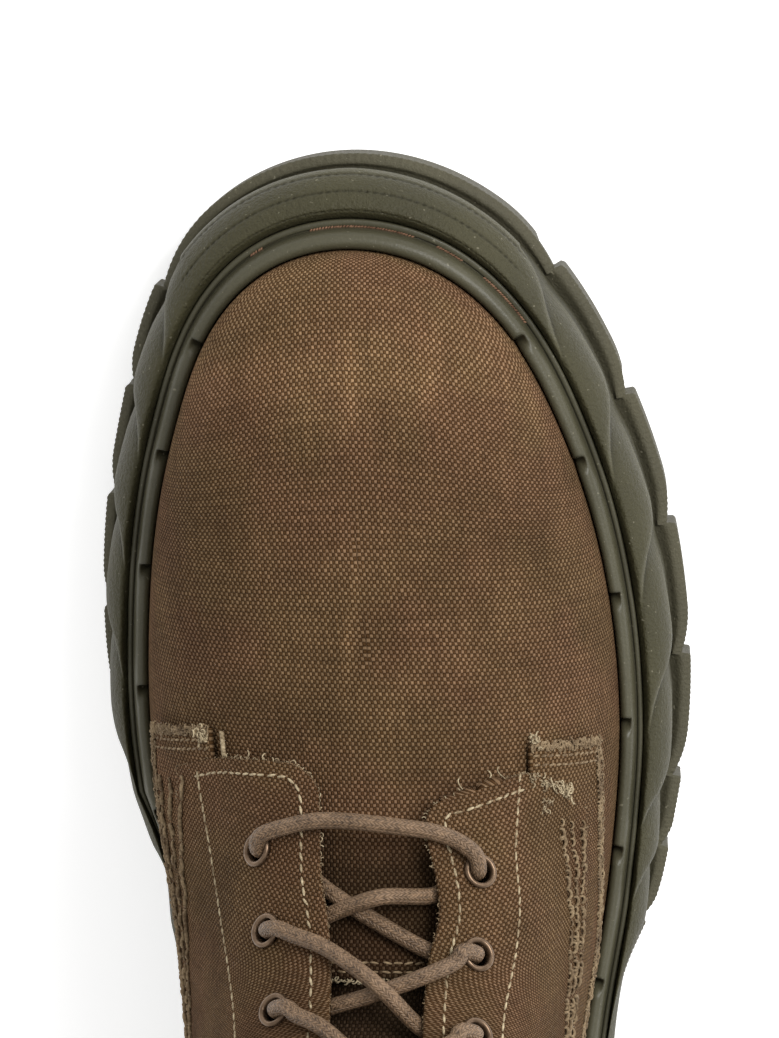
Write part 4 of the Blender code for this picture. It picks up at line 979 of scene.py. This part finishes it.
for name, side in SIDES.items():
    w = np.linspace(0, 1, 90)[:, None]
    front = quarter_front(side, w)
    t = np.concatenate([np.linspace(0, 0.1, 40)[:-1], np.linspace(0.1, 1, 170)])
    u = front + (HEEL_SEAM - front) * t
    high = np.stack([flap_edge(side, row) for row in u[::89]])
    low = np.stack([share_at_rise(side, row, QUARTER_EDGE) for row in u[::89]])
    low = low[0] + (low[1] - low[0]) * w
    high = high[0] + (high[1] - high[0]) * w
    v = low + (high - low) * w
    points = quarter_point(side, u, v, np.zeros(u.shape))
    cloth = FLAP_WEAVE * weave_uv(points, side, u, 0.5, FLAP_TURN)
    flap = bend_grid("flap_" + name, points[::-side], cloth[::-side], CANVAS)
    bpy.ops.object.mode_set(mode="EDIT")
    bpy.ops.mesh.select_mode(type="FACE")
    bpy.ops.mesh.select_all(action="DESELECT")
    bpy.ops.object.mode_set(mode="OBJECT")
    centres = np.empty(3 * len(flap.data.polygons))
    flap.data.polygons.foreach_get("center", centres)
    centres = centres.reshape(-1, 3) / MM
    holed = np.zeros(len(centres), bool)
    for pair in range(EYELET_PAIRS):
        centre, normal = eyelet_frame(side, pair)
        off = centres - centre
        deep = off @ normal
        holed |= (np.linalg.norm(off - deep[:, None] * normal, axis=1) < EYELET_BARREL) & (np.abs(deep) < 4)
    flap.data.polygons.foreach_set("select", holed)
    bpy.ops.object.mode_set(mode="EDIT")
    bpy.ops.mesh.delete(type="FACE")
    bpy.ops.object.mode_set(mode="OBJECT")
    thicken(flap, QUARTER_THICKNESS, 1.0)
    finish_piece(flap, "canvas", "quarter_" + name)

# The strips: a second layer of canvas that shows ahead of each flap and below it. Each is cut raw and
# sewn to the vamp with two rows of tan thread.

STAY_THICKNESS, STAY_LEAD, STAY_TUCK = 1.1, 6.5, 2.5
STAY_INNER = {LATERAL: 29.0, MEDIAL: 33.0}
# Share u and rise over the lip of each strip's lower edge
STAY_EDGES = {
    LATERAL: ((0.36, 25.0), (0.40, 25.0), (0.45, 23.5), (0.52, 16.0), (0.60, 17.0), (1.0, 20.0)),
    MEDIAL: ((0.36, 20.0), (0.45, 18.0), (0.52, 17.0), (0.60, 18.0), (1.0, 20.0)),
}


def stay_edge(side, u):
    """Share v of a strip's lower edge."""
    return share_at_rise(side, u, smooth_row(STAY_EDGES[side], u)[..., 0])


for name, side in SIDES.items():
    lead = share_at(side, QUARTER_FRONTS[side][1] + STAY_LEAD)
    start, end = stay_edge(side, lead), share_at_width(side, lead, STAY_INNER[side])
    corner = share_at_rise(side, quarter_front(side, 0.0), QUARTER_EDGE) + STAY_TUCK / 80.0
    flap_top = flap_edge(side, quarter_front(side, 1.0))
    v_front = np.linspace(end, start, 50)
    w = clamp((v_front - corner) / (flap_top - corner))
    u_back = np.linspace(quarter_front(side, 0.0) + 0.004, HEEL_SEAM, 150)
    u_low = np.concatenate([np.full(50, lead), u_back])
    v_low = np.concatenate([v_front, stay_edge(side, u_back)])
    u_high = np.concatenate([quarter_front(side, w) + STAY_TUCK / LIP_LENGTH, u_back])
    tucked = share_at_rise(side, u_back, QUARTER_EDGE + STAY_TUCK)
    v_high = np.concatenate([np.maximum(v_front, corner), tucked])
    t = np.linspace(0, 1, 16)[:, None]
    u, v = u_low + (u_high - u_low) * t, v_low + (v_high - v_low) * t
    points = offset_point(side, u, v, np.full(u.shape, OVERLAY_GAP))
    cloth = weave_uv(points, side, u)
    strip = bend_grid("strip_" + name, points[::-side], cloth[::-side], CANVAS)
    thicken(strip, STAY_THICKNESS, 1.0)
    finish_piece(strip, "canvas", "stay_" + name)

# The stitching: cream thread in lock stitches along the flaps and the collar, and tan thread on the
# strips, the throat and the heel's seam. Each stitch is a short fat bead that leans a little.

CHANCE = np.random.default_rng(7)


def model_arrays(piece):
    """A modelled piece's points in millimetres and its faces, and the piece removed."""
    points = np.array([vertex.co for vertex in piece.data.vertices]) / MM
    faces = [np.array(face.vertices) for face in piece.data.polygons]
    faces = sorted(tuple(np.roll(face, -face.argmin()).tolist()) for face in faces)
    bpy.data.objects.remove(piece)
    return points, faces


def spread_copies(name, model, places, axes, material):
    """One object of copies of a model, each at a place and turned to three axes."""
    points, faces = model
    copies = places[:, None] + np.einsum("vk,nkc->nvc", points, axes)
    mesh = bpy.data.meshes.new(name)
    count = len(points)
    faces = [tuple(k + n * count for k in face) for n in range(len(places)) for face in faces]
    mesh.from_pydata((copies.reshape(-1, 3) * MM).tolist(), [], faces)
    mesh.shade_smooth()
    mesh.materials.append(material)
    piece = bpy.data.objects.new(name, mesh)
    bpy.context.scene.collection.objects.link(piece)
    return piece


def thread_places(face, u, v, step, turn=0.0):
    """Even places along a line of shares on a face, with axes along, across and out of it."""
    u, v = np.broadcast_arrays(np.asarray(u, float), np.asarray(v, float))
    line = np.concatenate([face(u, v, 0.0), face(u, v, 1.0)], axis=1)
    run = run_along(line[:, :3])
    at = np.arange(0.5 * step, run[-1], step)
    at = at + CHANCE.uniform(-0.1, 0.1, len(at)) * step

    def pick(places):
        return np.stack([np.interp(places, run, line[:, k]) for k in range(6)], axis=1)

    here = pick(at)
    out = here[:, 3:] - here[:, :3]
    along = unit(pick(at + 0.5)[:, :3] - pick(at - 0.5)[:, :3])
    across = unit(np.cross(out, along))
    lean = (turn + CHANCE.normal(0, 0.12, len(at)))[:, None]
    turned = np.cos(lean) * along + np.sin(lean) * across
    return here[:, :3], np.stack([turned, np.cross(out, turned), out], axis=1)


def flap_face(side):
    return lambda u, v, height: quarter_point(side, u, v, np.full(u.shape, QUARTER_THICKNESS + height))


def strip_face(side):
    top = OVERLAY_GAP + STAY_THICKNESS
    return lambda u, v, height: offset_point(side, u, v, np.full(u.shape, top + height))


def vamp_face(side):
    return lambda u, v, height: offset_point(side, u, v, np.full(u.shape, height))


def flap_outline(side, inset, widest=99.0):
    """Shares of a line inside a flap's raw edge, from its front's outer end round to the collar."""
    w = np.linspace(0, 1, 80)
    u = quarter_front(side, w) + inset / LIP_LENGTH
    low, high = share_at_rise(side, u, QUARTER_EDGE), flap_edge(side, u, inset)
    v = low + (high - low) * w
    back = np.linspace(u[-1], COLLAR_SHARE - 0.003, 200)[1:]
    u, v = np.concatenate([u, back]), np.concatenate([v, flap_edge(side, back, inset)])
    near = ridge_distance(side, u, v) < widest
    return u[near], v[near]


def strip_front(side, behind):
    """Shares of a line across a strip, behind its front edge, from its inner end outwards."""
    lead = share_at(side, QUARTER_FRONTS[side][1] + STAY_LEAD - behind)
    ends = share_at_width(side, lead, STAY_INNER[side]), stay_edge(side, lead)
    return np.full(60, lead), np.linspace(*ends, 60)


def join_places(rows):
    return np.concatenate([row[0] for row in rows]), np.concatenate([row[1] for row in rows])


def thread_material(name, dark, pale):
    """Cotton thread with a fine twist, paler and darker along it."""
    material, tree, sockets = start_material(name, 0.8, 0.2)
    place = coords(tree, "Object")
    put(sockets["Base Color"], mix(ramp(noise(place, 240.0) + noise(place, 1800.0), 0.75, 1.25), dark, pale))
    bump(sockets, noise(place, 2600.0), 0.1)
    return material


TAN_THREAD = thread_material("tan_thread", (0.09, 0.057, 0.03), (0.26, 0.188, 0.108))
CREAM_THREAD = thread_material("cream_thread", (0.16, 0.115, 0.065), (0.44, 0.36, 0.23))

# Share u and distance from the ridge of the second row of each flap, which runs up outside the eyelets
SECOND_ROWS = {
    LATERAL: (
        (0.397, 24.6), (0.425, 23.3), (0.445, 22.6), (0.48, 22.9), (0.50, 22.2), (0.5375, 20.0), (0.62, 20.5),
        (0.714, 21.0),
    ),
    MEDIAL: (
        (0.39, 36.0), (0.40, 35.7), (0.4325, 34.1), (0.48, 31.0), (0.5375, 25.9), (0.62, 22.5), (0.714, 21.0),
    ),
}
EDGE_INSET, COLLAR_INSET = 3.1, 4.0
HEEL_ROW_SHARE = 1 - 2.6 / LIP_LENGTH

rows = []
for side in (LATERAL, MEDIAL):
    face, (start, widest) = flap_face(side), SECOND_ROWS[side][0]
    rows.append(thread_places(face, *flap_outline(side, EDGE_INSET, widest + 0.8), 2.4, 0.1))
    u = np.linspace(start, 0.712, 240)
    v = share_at_width(side, u, smooth_row(SECOND_ROWS[side], u)[..., 0])
    rows.append(thread_places(face, u, v, 2.3, -0.1))
    u = np.linspace(COLLAR_SHARE + 0.004, 0.994, 200)
    v = flap_edge(side, u)
    fall = np.linalg.norm(face(u, v, 0.0) - face(u, v - 0.05, 0.0), axis=-1)
    rows.append(thread_places(face, u, v - 0.05 * COLLAR_INSET / fall, 2.4, 0.1))
bpy.ops.object.select_all(action="DESELECT")
bpy.ops.mesh.primitive_uv_sphere_add(segments=10, ring_count=6, radius=0.001)
bead = bpy.context.object
bpy.ops.transform.resize(value=(1.02, 0.28, 0.27))
bpy.ops.object.transform_apply(location=False, rotation=False, scale=True)
BEAD = model_arrays(bead)
finish_piece(spread_copies("cream_stitches", BEAD, *join_places(rows), CREAM_THREAD), "canvas")

rows = []
for side in (LATERAL, MEDIAL):
    for behind in (2.4, 4.3):
        rows.append(thread_places(strip_face(side), *strip_front(side, behind), 2.3, 0.15))
    for ahead in (0.007, 0.012):
        u = np.full(40, THROAT_SHARE - ahead)
        v = share_at_width(side, u, np.linspace(0.1, 12.0, 40))
        rows.append(thread_places(vamp_face(side), u, v, 2.2))
    u = np.full(120, HEEL_ROW_SHARE)
    low, high = share_at_rise(side, u[:1], QUARTER_EDGE), flap_edge(side, u[:1])
    rows.append(thread_places(flap_face(side), u, np.linspace(low[0] + 0.01, high[0] - 0.01, 120), 2.4, 0.1))
places, axes = join_places(rows)
finish_piece(spread_copies("tan_stitches", BEAD, places, axes * 0.95, TAN_THREAD), "canvas")

# A short end of twisted cord stands up between the medial strip and the flap
u = np.linspace(0.366, 0.381, 20)
places, axes = thread_places(vamp_face(MEDIAL), u, share_at_width(MEDIAL, u, 30.8), 0.7, 0.6)
places, axes = places + axes[:, 2] * 1.2, axes * ((0.75,), (1.6,), (1.8,))
cord = spread_copies("cord_end", BEAD, places, axes, CREAM_THREAD)
finish_piece(cord, "canvas")

# Share u of each end of the dashes of brown thread in the groove at the toe
WELT_DASHES = {LATERAL: ((0.0, 0.036), (0.05, 0.066), (0.082, 0.118)), MEDIAL: ((0.0, 0.022), (0.05, 0.058))}


def groove_face(side):
    """The floor of the groove between the lip and the strip, as a face for thread."""
    def face(u, v, height):
        place, outward, lip, flare = foot_line(side, u)
        width = LIP_SHARE * welt_width(u, flare) + 0.12
        return np.column_stack([place + outward * width[:, None], lip - 4.35 + height])
    return face


BROWN_THREAD = thread_material("brown_thread", (0.08, 0.04, 0.022), (0.25, 0.14, 0.085))
rows = []
for side, dashes in WELT_DASHES.items():
    for first, last in dashes:
        rows.append(thread_places(groove_face(side), np.linspace(first, last, 40), 0.0, 0.62, 0.55))
places, axes = join_places(rows)
dashes = spread_copies("welt_thread", BEAD, places, axes * ((0.42,), (0.75,), (0.9,)), BROWN_THREAD)
finish_piece(dashes, "canvas")

# The frayed edges: loops of loose yarn and overcast thread along the raw edges, thickest on the strips,
# with looped rows down each side and a stray thread here and there.


def tube_grid(line, radius, sides):
    """Rows of points round a line, closed at both ends, with millimetres around and along it."""
    tangent = unit(np.gradient(line, axis=0))
    across = [unit(np.cross(tangent[0], (0.3, 0.5, 0.8)))]
    for direction in tangent[1:]:
        across.append(unit(across[-1] - direction * (across[-1] @ direction)))
    across = np.array(across)
    other = np.cross(tangent, across)
    turn = np.linspace(0, 2 * math.pi, sides + 1)[:, None, None]
    girth = np.full((len(line), 1), radius)
    girth[0] = girth[-1] = 0.0
    points = line + girth * (np.cos(turn) * across + np.sin(turn) * other)
    uv = np.stack(np.broadcast_arrays(turn[..., 0] * radius, run_along(line)), axis=-1)
    return points[::-1], uv[::-1]


turn = np.radians(np.linspace(-130, 130, 8))
arc = np.stack([0.62 * np.sin(turn), 0.42 * np.cos(turn) - 0.1, 0.12 * np.cos(turn)], axis=1)
LOOP = model_arrays(bend_grid("loop", *tube_grid(arc, 0.17, 4)))


def tangle(places, axes, size, spin, lift):
    """Loops at the places, each of a chance size and turned by chance."""
    count = len(places)
    turn = CHANCE.normal(0, spin, count)[:, None]
    tilt = CHANCE.normal(0, 0.35, count)[:, None]
    along, across, out = np.moveaxis(axes, 1, 0)
    first = np.cos(turn) * along + np.sin(turn) * across
    second = np.cross(out, first) * np.cos(tilt) + out * np.sin(tilt)
    third = np.cross(first, second)
    scale = size * CHANCE.uniform(0.7, 1.35, (count, 1, 1))
    places = places + along * CHANCE.normal(0, 0.25, (count, 1)) + out * lift
    places = places + across * CHANCE.normal(0, 0.2, (count, 1))
    return places, np.stack([first, second, third], axis=1) * scale


# Rises over the lip of the looped rows down each side, on the strips and on the flaps
LOOPED_ROWS = {LATERAL: ((), (37.2, 41.4, 45.4)), MEDIAL: ((24.5, 30.0), (36.5,))}

fine, thick = [], []
for side in (LATERAL, MEDIAL):
    u = np.linspace(quarter_front(side, 0.0) + 0.006, 0.99, 420)
    for face, rises in zip((strip_face(side), flap_face(side)), LOOPED_ROWS[side]):
        for rise in rises:
            wave = rise + 0.5 * np.sin(u * 190) + 0.3 * np.sin(u * 71 + rise)
            places, axes = thread_places(face, u, share_at_rise(side, u, wave), 1.75, 0.15)
            thick.append(tangle(places, axes * ((1.5,), (1.1,), (1.1,)), 1.0, 0.2, 0.1))
    u = np.linspace(share_at(side, QUARTER_FRONTS[side][1] + STAY_LEAD), 0.99, 420)
    for inset, spin in ((0.0, 1.4), (0.9, 1.4), (1.8, 0.5)):
        places, axes = thread_places(strip_face(side), u, stay_edge(side, u) + inset / 75.0, 0.7)
        thick.append(tangle(places, axes, 1.15, spin, 0.1))
    for behind in (0.0, 0.7):
        places, axes = thread_places(strip_face(side), *strip_front(side, behind), 0.45)
        thick.append(tangle(places, axes, 1.05, 1.4, 0.1))
    u = np.linspace(quarter_front(side, 0.0), 0.99, 420)
    places, axes = thread_places(flap_face(side), u, share_at_rise(side, u, QUARTER_EDGE + 0.3), 0.9)
    thick.append(tangle(places, axes, 0.9, 1.4, -0.2))
    places, axes = thread_places(flap_face(side), *flap_outline(side, 0.15), 0.5)
    fine.append(tangle(places, axes, 0.55, 1.5, -0.35))
for name, rows in (("frayed_edges", thick), ("raw_edge_fuzz", fine)):
    finish_piece(spread_copies(name, LOOP, *join_places(rows), TAN_THREAD), "canvas")

# Tufts of loose ends: side, face, share u, distance from the ridge, size and count of loops
TUFTS = (
    (MEDIAL, strip_face(MEDIAL), 0.368, 34.0, 1.1, 30),
    (LATERAL, flap_face(LATERAL), 0.4000, 27.0, 0.8, 12),
    (LATERAL, flap_face(LATERAL), 0.4025, 29.5, 0.9, 18),
    (LATERAL, flap_face(LATERAL), 0.4045, 31.8, 0.9, 18),
    (LATERAL, flap_face(LATERAL), 0.4075, 34.0, 1.1, 28),
    (LATERAL, flap_face(LATERAL), 0.4130, 29.2, 0.8, 8),
    (LATERAL, flap_face(LATERAL), 0.4200, 29.0, 0.7, 6),
    (LATERAL, strip_face(LATERAL), 0.374, 29.5, 1.0, 12),
)
rows = []
for side, face, u, width, size, count in TUFTS:
    u = np.full(3, u) + (-1e-3, 0, 1e-3)
    places, axes = thread_places(face, u, share_at_width(side, u, width), 0.3)
    pick = CHANCE.integers(0, len(places), count)
    places, axes = tangle(places[pick], axes[pick], size, 2.0, 0.4)
    rows.append((places + CHANCE.normal(0, 0.7, (count, 3)) * (1.2, 1.0, 0.25), axes))
for side in (LATERAL, MEDIAL):
    places, axes = thread_places(flap_face(side), *flap_outline(side, -0.2, 30.0), 1.3)
    near = places[:, 1] > 24.0
    rows.append(tangle(places[near], axes[near], 0.6, 1.5, -0.6))
u = np.full(40, THROAT_SHARE - 0.002)
for side in (LATERAL, MEDIAL):
    places, axes = thread_places(vamp_face(side), u, share_at_width(side, u, np.linspace(0.1, 12.0, 40)), 0.5)
    rows.append(tangle(places, axes, 0.9, 1.5, 0.2))
finish_piece(spread_copies("tufts", LOOP, *join_places(rows), CREAM_THREAD), "canvas")

# Longer threads curl out of the flaps' front edges: side, place on the edge, distance from the ridge,
# reach and bend
STRAY_THREADS = (
    (LATERAL, 0.95, 12.6, 3.4, 2.2), (LATERAL, 0.8, 16.0, 3.2, -1.6), (LATERAL, 0.7, 18.6, 3.4, 1.8),
    (LATERAL, 0.5, 23.6, 2.8, -2.0), (MEDIAL, 0.8, 20.0, 2.6, 1.6), (MEDIAL, 0.65, 26.0, 2.8, -1.8),
)
strays = []
for side, w, width, reach, bend in STRAY_THREADS:
    t = np.linspace(0, 1, 9)
    u = np.full(9, quarter_front(side, w)) - (reach * t - 1.0) / LIP_LENGTH
    v = share_at_width(side, u, width + bend * np.sin(2.4 * t))
    line = offset_point(side, u, v, OVERLAY_GAP + QUARTER_THICKNESS + 0.9 * np.sin(2.6 * t))
    strays.append(bend_grid("stray_threads", *tube_grid(line, 0.16, 5), CREAM_THREAD))
bpy.ops.object.select_all(action="DESELECT")
for stray in strays:
    stray.select_set(True)
bpy.context.view_layer.objects.active = strays[0]
bpy.ops.object.join()
finish_piece(strays[0], "canvas")

# The eyelets: pressed metal rings with a rolled flange, painted a satin brown, one through each hole.
# One is modelled and copied fourteen times.

# Radius and height of points round a section of the ring
EYELET_PROFILE = (
    (2.3, -1.9), (2.75, -1.9), (2.8, 0.0), (3.2, 0.05), (3.45, 0.15), (3.55, 0.4), (3.5, 0.7), (3.3, 0.95),
    (3.05, 1.05), (2.75, 1.0), (2.5, 0.8), (2.35, 0.4),
)
EYELET_STEPS = 36

EYELET_PAINT, tree, sockets = start_material("eyelet_paint", 0.34)
cloud = noise(coords(tree, "Object"), 700.0, 3.0)
put(sockets["Base Color"], mix(ramp(cloud, 0.35, 0.65), (0.11, 0.07, 0.042), (0.17, 0.112, 0.07)))
sockets["Metallic"].default_value = 0.75
bump(sockets, cloud, 0.03)

bpy.ops.object.select_all(action="DESELECT")
bpy.ops.mesh.primitive_torus_add(
    major_segments=EYELET_STEPS, minor_segments=len(EYELET_PROFILE), major_radius=0.0032, minor_radius=0.0008
)
ring = bpy.context.object
turn = np.linspace(0, 2 * math.pi, EYELET_STEPS, endpoint=False)[:, None]
radius, height = np.array(EYELET_PROFILE).T
points = np.stack([radius * np.cos(turn), radius * np.sin(turn), height + 0 * turn], axis=-1)
ring.data.vertices.foreach_set("co", (points * MM).reshape(-1).astype(np.float32))
bpy.ops.object.mode_set(mode="EDIT")
bpy.ops.mesh.select_all(action="SELECT")
bpy.ops.mesh.normals_make_consistent(inside=False)
bpy.ops.object.mode_set(mode="OBJECT")
frames = [eyelet_frame(side, pair) for side in (LATERAL, MEDIAL) for pair in range(EYELET_PAIRS)]
axes = []
for _, normal in frames:
    first = unit(np.cross((0.0, 1.0, 0.0), normal))
    axes.append([first, np.cross(normal, first), normal])
places = np.array([centre for centre, _ in frames])
eyelets = spread_copies("eyelets", model_arrays(ring), places, np.array(axes), EYELET_PAINT)
names = [f"eyelet_{name}_{pair + 1}" for name in SIDES for pair in range(EYELET_PAIRS)]
finish_piece(eyelets, "eyelet_metal", *names)

# The lace: one round waxed braid. It makes a bar over the first pair of eyelets, crosses under the
# flaps to the second pair, then crosses over them from pair to pair, and ends in a knot on each side.

LACE_RADIUS, LACE_STEP, KNOT_SIZE = 1.65, 0.7, 1.15
BRAID_COLUMNS, BRAID_PITCH = 14, 0.85
# Points through each hole: height over its centre and distance inwards
LACE_HOLE = ((-3.6, 2.6), (-1.6, 0.3), (0.7, 0.6))
LACE_LIFT = {LATERAL: 2.0, MEDIAL: -1.9}   # so that one half passes over the other where they cross
# How far along the ridge the lace leaves each first flap, goes under the other, and crosses the ridge
LACE_FIRST = {MEDIAL: (0.0235, -0.0045, 0.043), LATERAL: (0.011, -0.012, 0.017)}
# Points on the bar: share u and distance across from each first eyelet, and height over the flap
LACE_BAR = {
    MEDIAL: ((-0.006, 1.8, 2.5), (-0.0105, 5.5, 2.2), (-0.0135, 12.2, 2.1)),
    LATERAL: ((-0.0075, 1.4, 2.5), (-0.0155, 3.9, 2.3), (-0.0205, 7.5, 2.2), (-0.0225, 11.0, 2.1)),
}


def in_throat(u, across, height):
    """A point at a height over the vamp between the flaps, at a distance across the ridge."""
    side = LATERAL if across > 0 else MEDIAL
    v = share_at_width(side, np.float64(u), max(abs(across), 0.05))
    return offset_point(side, np.float64(u), v, np.float64(height))


def over_flap(side, u, width, height):
    """A point at a height over the flap, at a distance from the ridge."""
    v = share_at_width(side, np.float64(u), width)
    return quarter_point(side, np.float64(u), v, np.float64(QUARTER_THICKNESS + height))


def lace_half(start):
    """The lace's line from the first eyelet on a side to the last pair, crossing at every pair."""
    points, side = [], start
    for pair in range(EYELET_PAIRS):
        centre, normal = eyelet_frame(side, pair)
        u = eyelet_share(side, pair)
        inward = unit(over_flap(side, u, EYELET_WIDTHS[side][pair] - 3.0, 0.0) - centre)
        rows = [centre + normal * height + inward * off for height, off in LACE_HOLE]
        following = eyelet_share(-side, min(pair + 1, EYELET_PAIRS - 1))
        if pair == 0:
            first, last, middle = LACE_FIRST[side]
            points += rows[::-1]
            points.append(in_throat(u + first, side * 10.0, 2.4))
            points.append(in_throat(u + middle, 0.0, 4.1 + LACE_LIFT[start]))
            points.append(in_throat(following + last, -side * 9.0, 2.4))
        else:
            points += rows
            if pair == EYELET_PAIRS - 1:
                turn = math.pi / 3 + np.linspace(0, 1.92 * math.pi, 27)[:, None]
                ring = KNOT_SIZE * (2 + np.cos(3 * turn))
                aside = np.cross(normal, inward)
                knot = ring * (np.cos(2 * turn) * inward + np.sin(2 * turn) * aside)
                points += list(centre + knot + normal * (4.2 + 1.2 * KNOT_SIZE * np.sin(3 * turn)))
                break
            width = EYELET_WIDTHS[side][pair]
            points.append(over_flap(side, u + 0.0012, width - 3.2, 2.5))
            points.append(over_flap(side, u + 0.005, 0.45 * width + 5.0, 2.1))
            points.append(over_flap(side, u + 0.0125, 8.6, 2.1))
            points.append(in_throat(0.5 * (u + following) + 0.005, 0.0, 6.6 + LACE_LIFT[start]))
            points.append(in_throat(following - 0.006, -side * 8.4, 2.6))
        side = -side
    return points


def lace_line():
    """Even points along the whole lace, from the last eyelet on one side, over the bar, to the other's."""
    bar = []
    for side in (MEDIAL, LATERAL):
        width = EYELET_WIDTHS[side][0]
        u = eyelet_share(side, 0)
        half = [over_flap(side, u + du, width - off, height) for du, off, height in LACE_BAR[side]]
        bar += half if side == MEDIAL else half[::-1]
    points = np.array(lace_half(MEDIAL)[::-1] + bar + lace_half(LATERAL))
    knots = np.concatenate([[0], np.cumsum(np.linalg.norm(np.diff(points, axis=0), axis=1) ** 0.5)])
    fine = smooth_row(np.column_stack([knots, points]), np.linspace(0, knots[-1], 6000))
    run = run_along(fine)
    even = np.linspace(0, run[-1], int(run[-1] / LACE_STEP))
    return np.stack([np.interp(even, run, fine[:, k]) for k in range(3)], axis=1)


LACE_CORD, tree, sockets = start_material("lace_cord", 0.5, 0.35)
place, braid = coords(tree, "Object"), coords(tree, "UV")
around, along = split(braid)
column = around * (BRAID_COLUMNS / (2 * math.pi * LACE_RADIUS))
local = column.calc("FRACT") - 0.5
lean = column.calc("FLOOR").calc("MODULO", 2.0) * 2.0 - 1.0
phase = along.calc("DIVIDE", BRAID_PITCH) + local * lean + noise(braid, 1.1, 3.0) * 0.9
dash = abs((phase * math.pi).calc("SINE"))
plait = dash**0.6 * (local * (math.pi * 0.9)).calc("COSINE") ** 0.5
fibre = noise(place, 1300.0)
tone = plait * 0.3 + fibre * 1.13 + noise(place, 160.0) * 0.5
put(sockets["Base Color"], mix(ramp(tone, 0.68, 1.38), (0.05, 0.028, 0.013), (0.25, 0.159, 0.092)))
bump(sockets, plait + fibre * 0.7, 0.2)

lace = bend_grid("lace", *tube_grid(lace_line(), LACE_RADIUS, 20), LACE_CORD)
finish_piece(lace, "lace_cord", "lace_bar", *[f"lace_cross_{k}" for k in range(1, EYELET_PAIRS)])

# The stage: a white paper floor in soft light from all round, a key light from the right, and the
# camera over the toe, as the boot was photographed.

bpy.ops.object.select_all(action="DESELECT")
bpy.ops.mesh.primitive_plane_add(size=8.0)
floor = bpy.context.object
floor.name = "floor"
FLOOR_PAPER, _, sockets = start_material("floor_paper", 0.9)
sockets["Base Color"].default_value = (0.92, 0.92, 0.92, 1.0)
sockets["Emission Color"].default_value = (1.0, 1.0, 1.0, 1.0)
sockets["Emission Strength"].default_value = 0.42
floor.data.materials.append(FLOOR_PAPER)

world = bpy.data.worlds.new("studio")
bpy.context.scene.world = world
world.use_nodes = True
world.node_tree.nodes["Background"].inputs[0].default_value = (1.0, 1.0, 1.0, 1.0)
world.node_tree.nodes["Background"].inputs[1].default_value = 0.85

bpy.ops.object.light_add(type="AREA", location=(1.0, 0.8, 1.4))
key = bpy.context.object
key.name = "key"
key.data.size, key.data.energy = 0.9, 31.0
key.rotation_euler = (key.location - Vector((0.0, 0.05, 0.05))).to_track_quat("Z", "Y").to_euler()

TARGET = np.array([0.75, 83.6, 50.0])
DISTANCE, LEAN_X, LEAN_Y = 1300.0, 3.2, 9.0
FOCAL_PIXELS, PICTURE_PIXELS, SENSOR = 6330.0, 1038.0, 36.0
back = np.array([math.sin(math.radians(LEAN_X)), math.sin(math.radians(LEAN_Y)), 0.0])
back[2] = math.sqrt(1 - back @ back)
right = unit(np.cross((0.0, 1.0, 0.0), back))
bpy.ops.object.camera_add(location=(TARGET + DISTANCE * back) * MM)
camera = bpy.context.object
turned = np.array([right, np.cross(back, right), back]).T
camera.rotation_euler = Matrix(turned.tolist()).to_euler()
camera.data.sensor_fit, camera.data.sensor_height = "VERTICAL", SENSOR
camera.data.lens = FOCAL_PIXELS / PICTURE_PIXELS * SENSOR
bpy.context.scene.camera = camera
bpy.context.scene.view_settings.view_transform = "Standard"
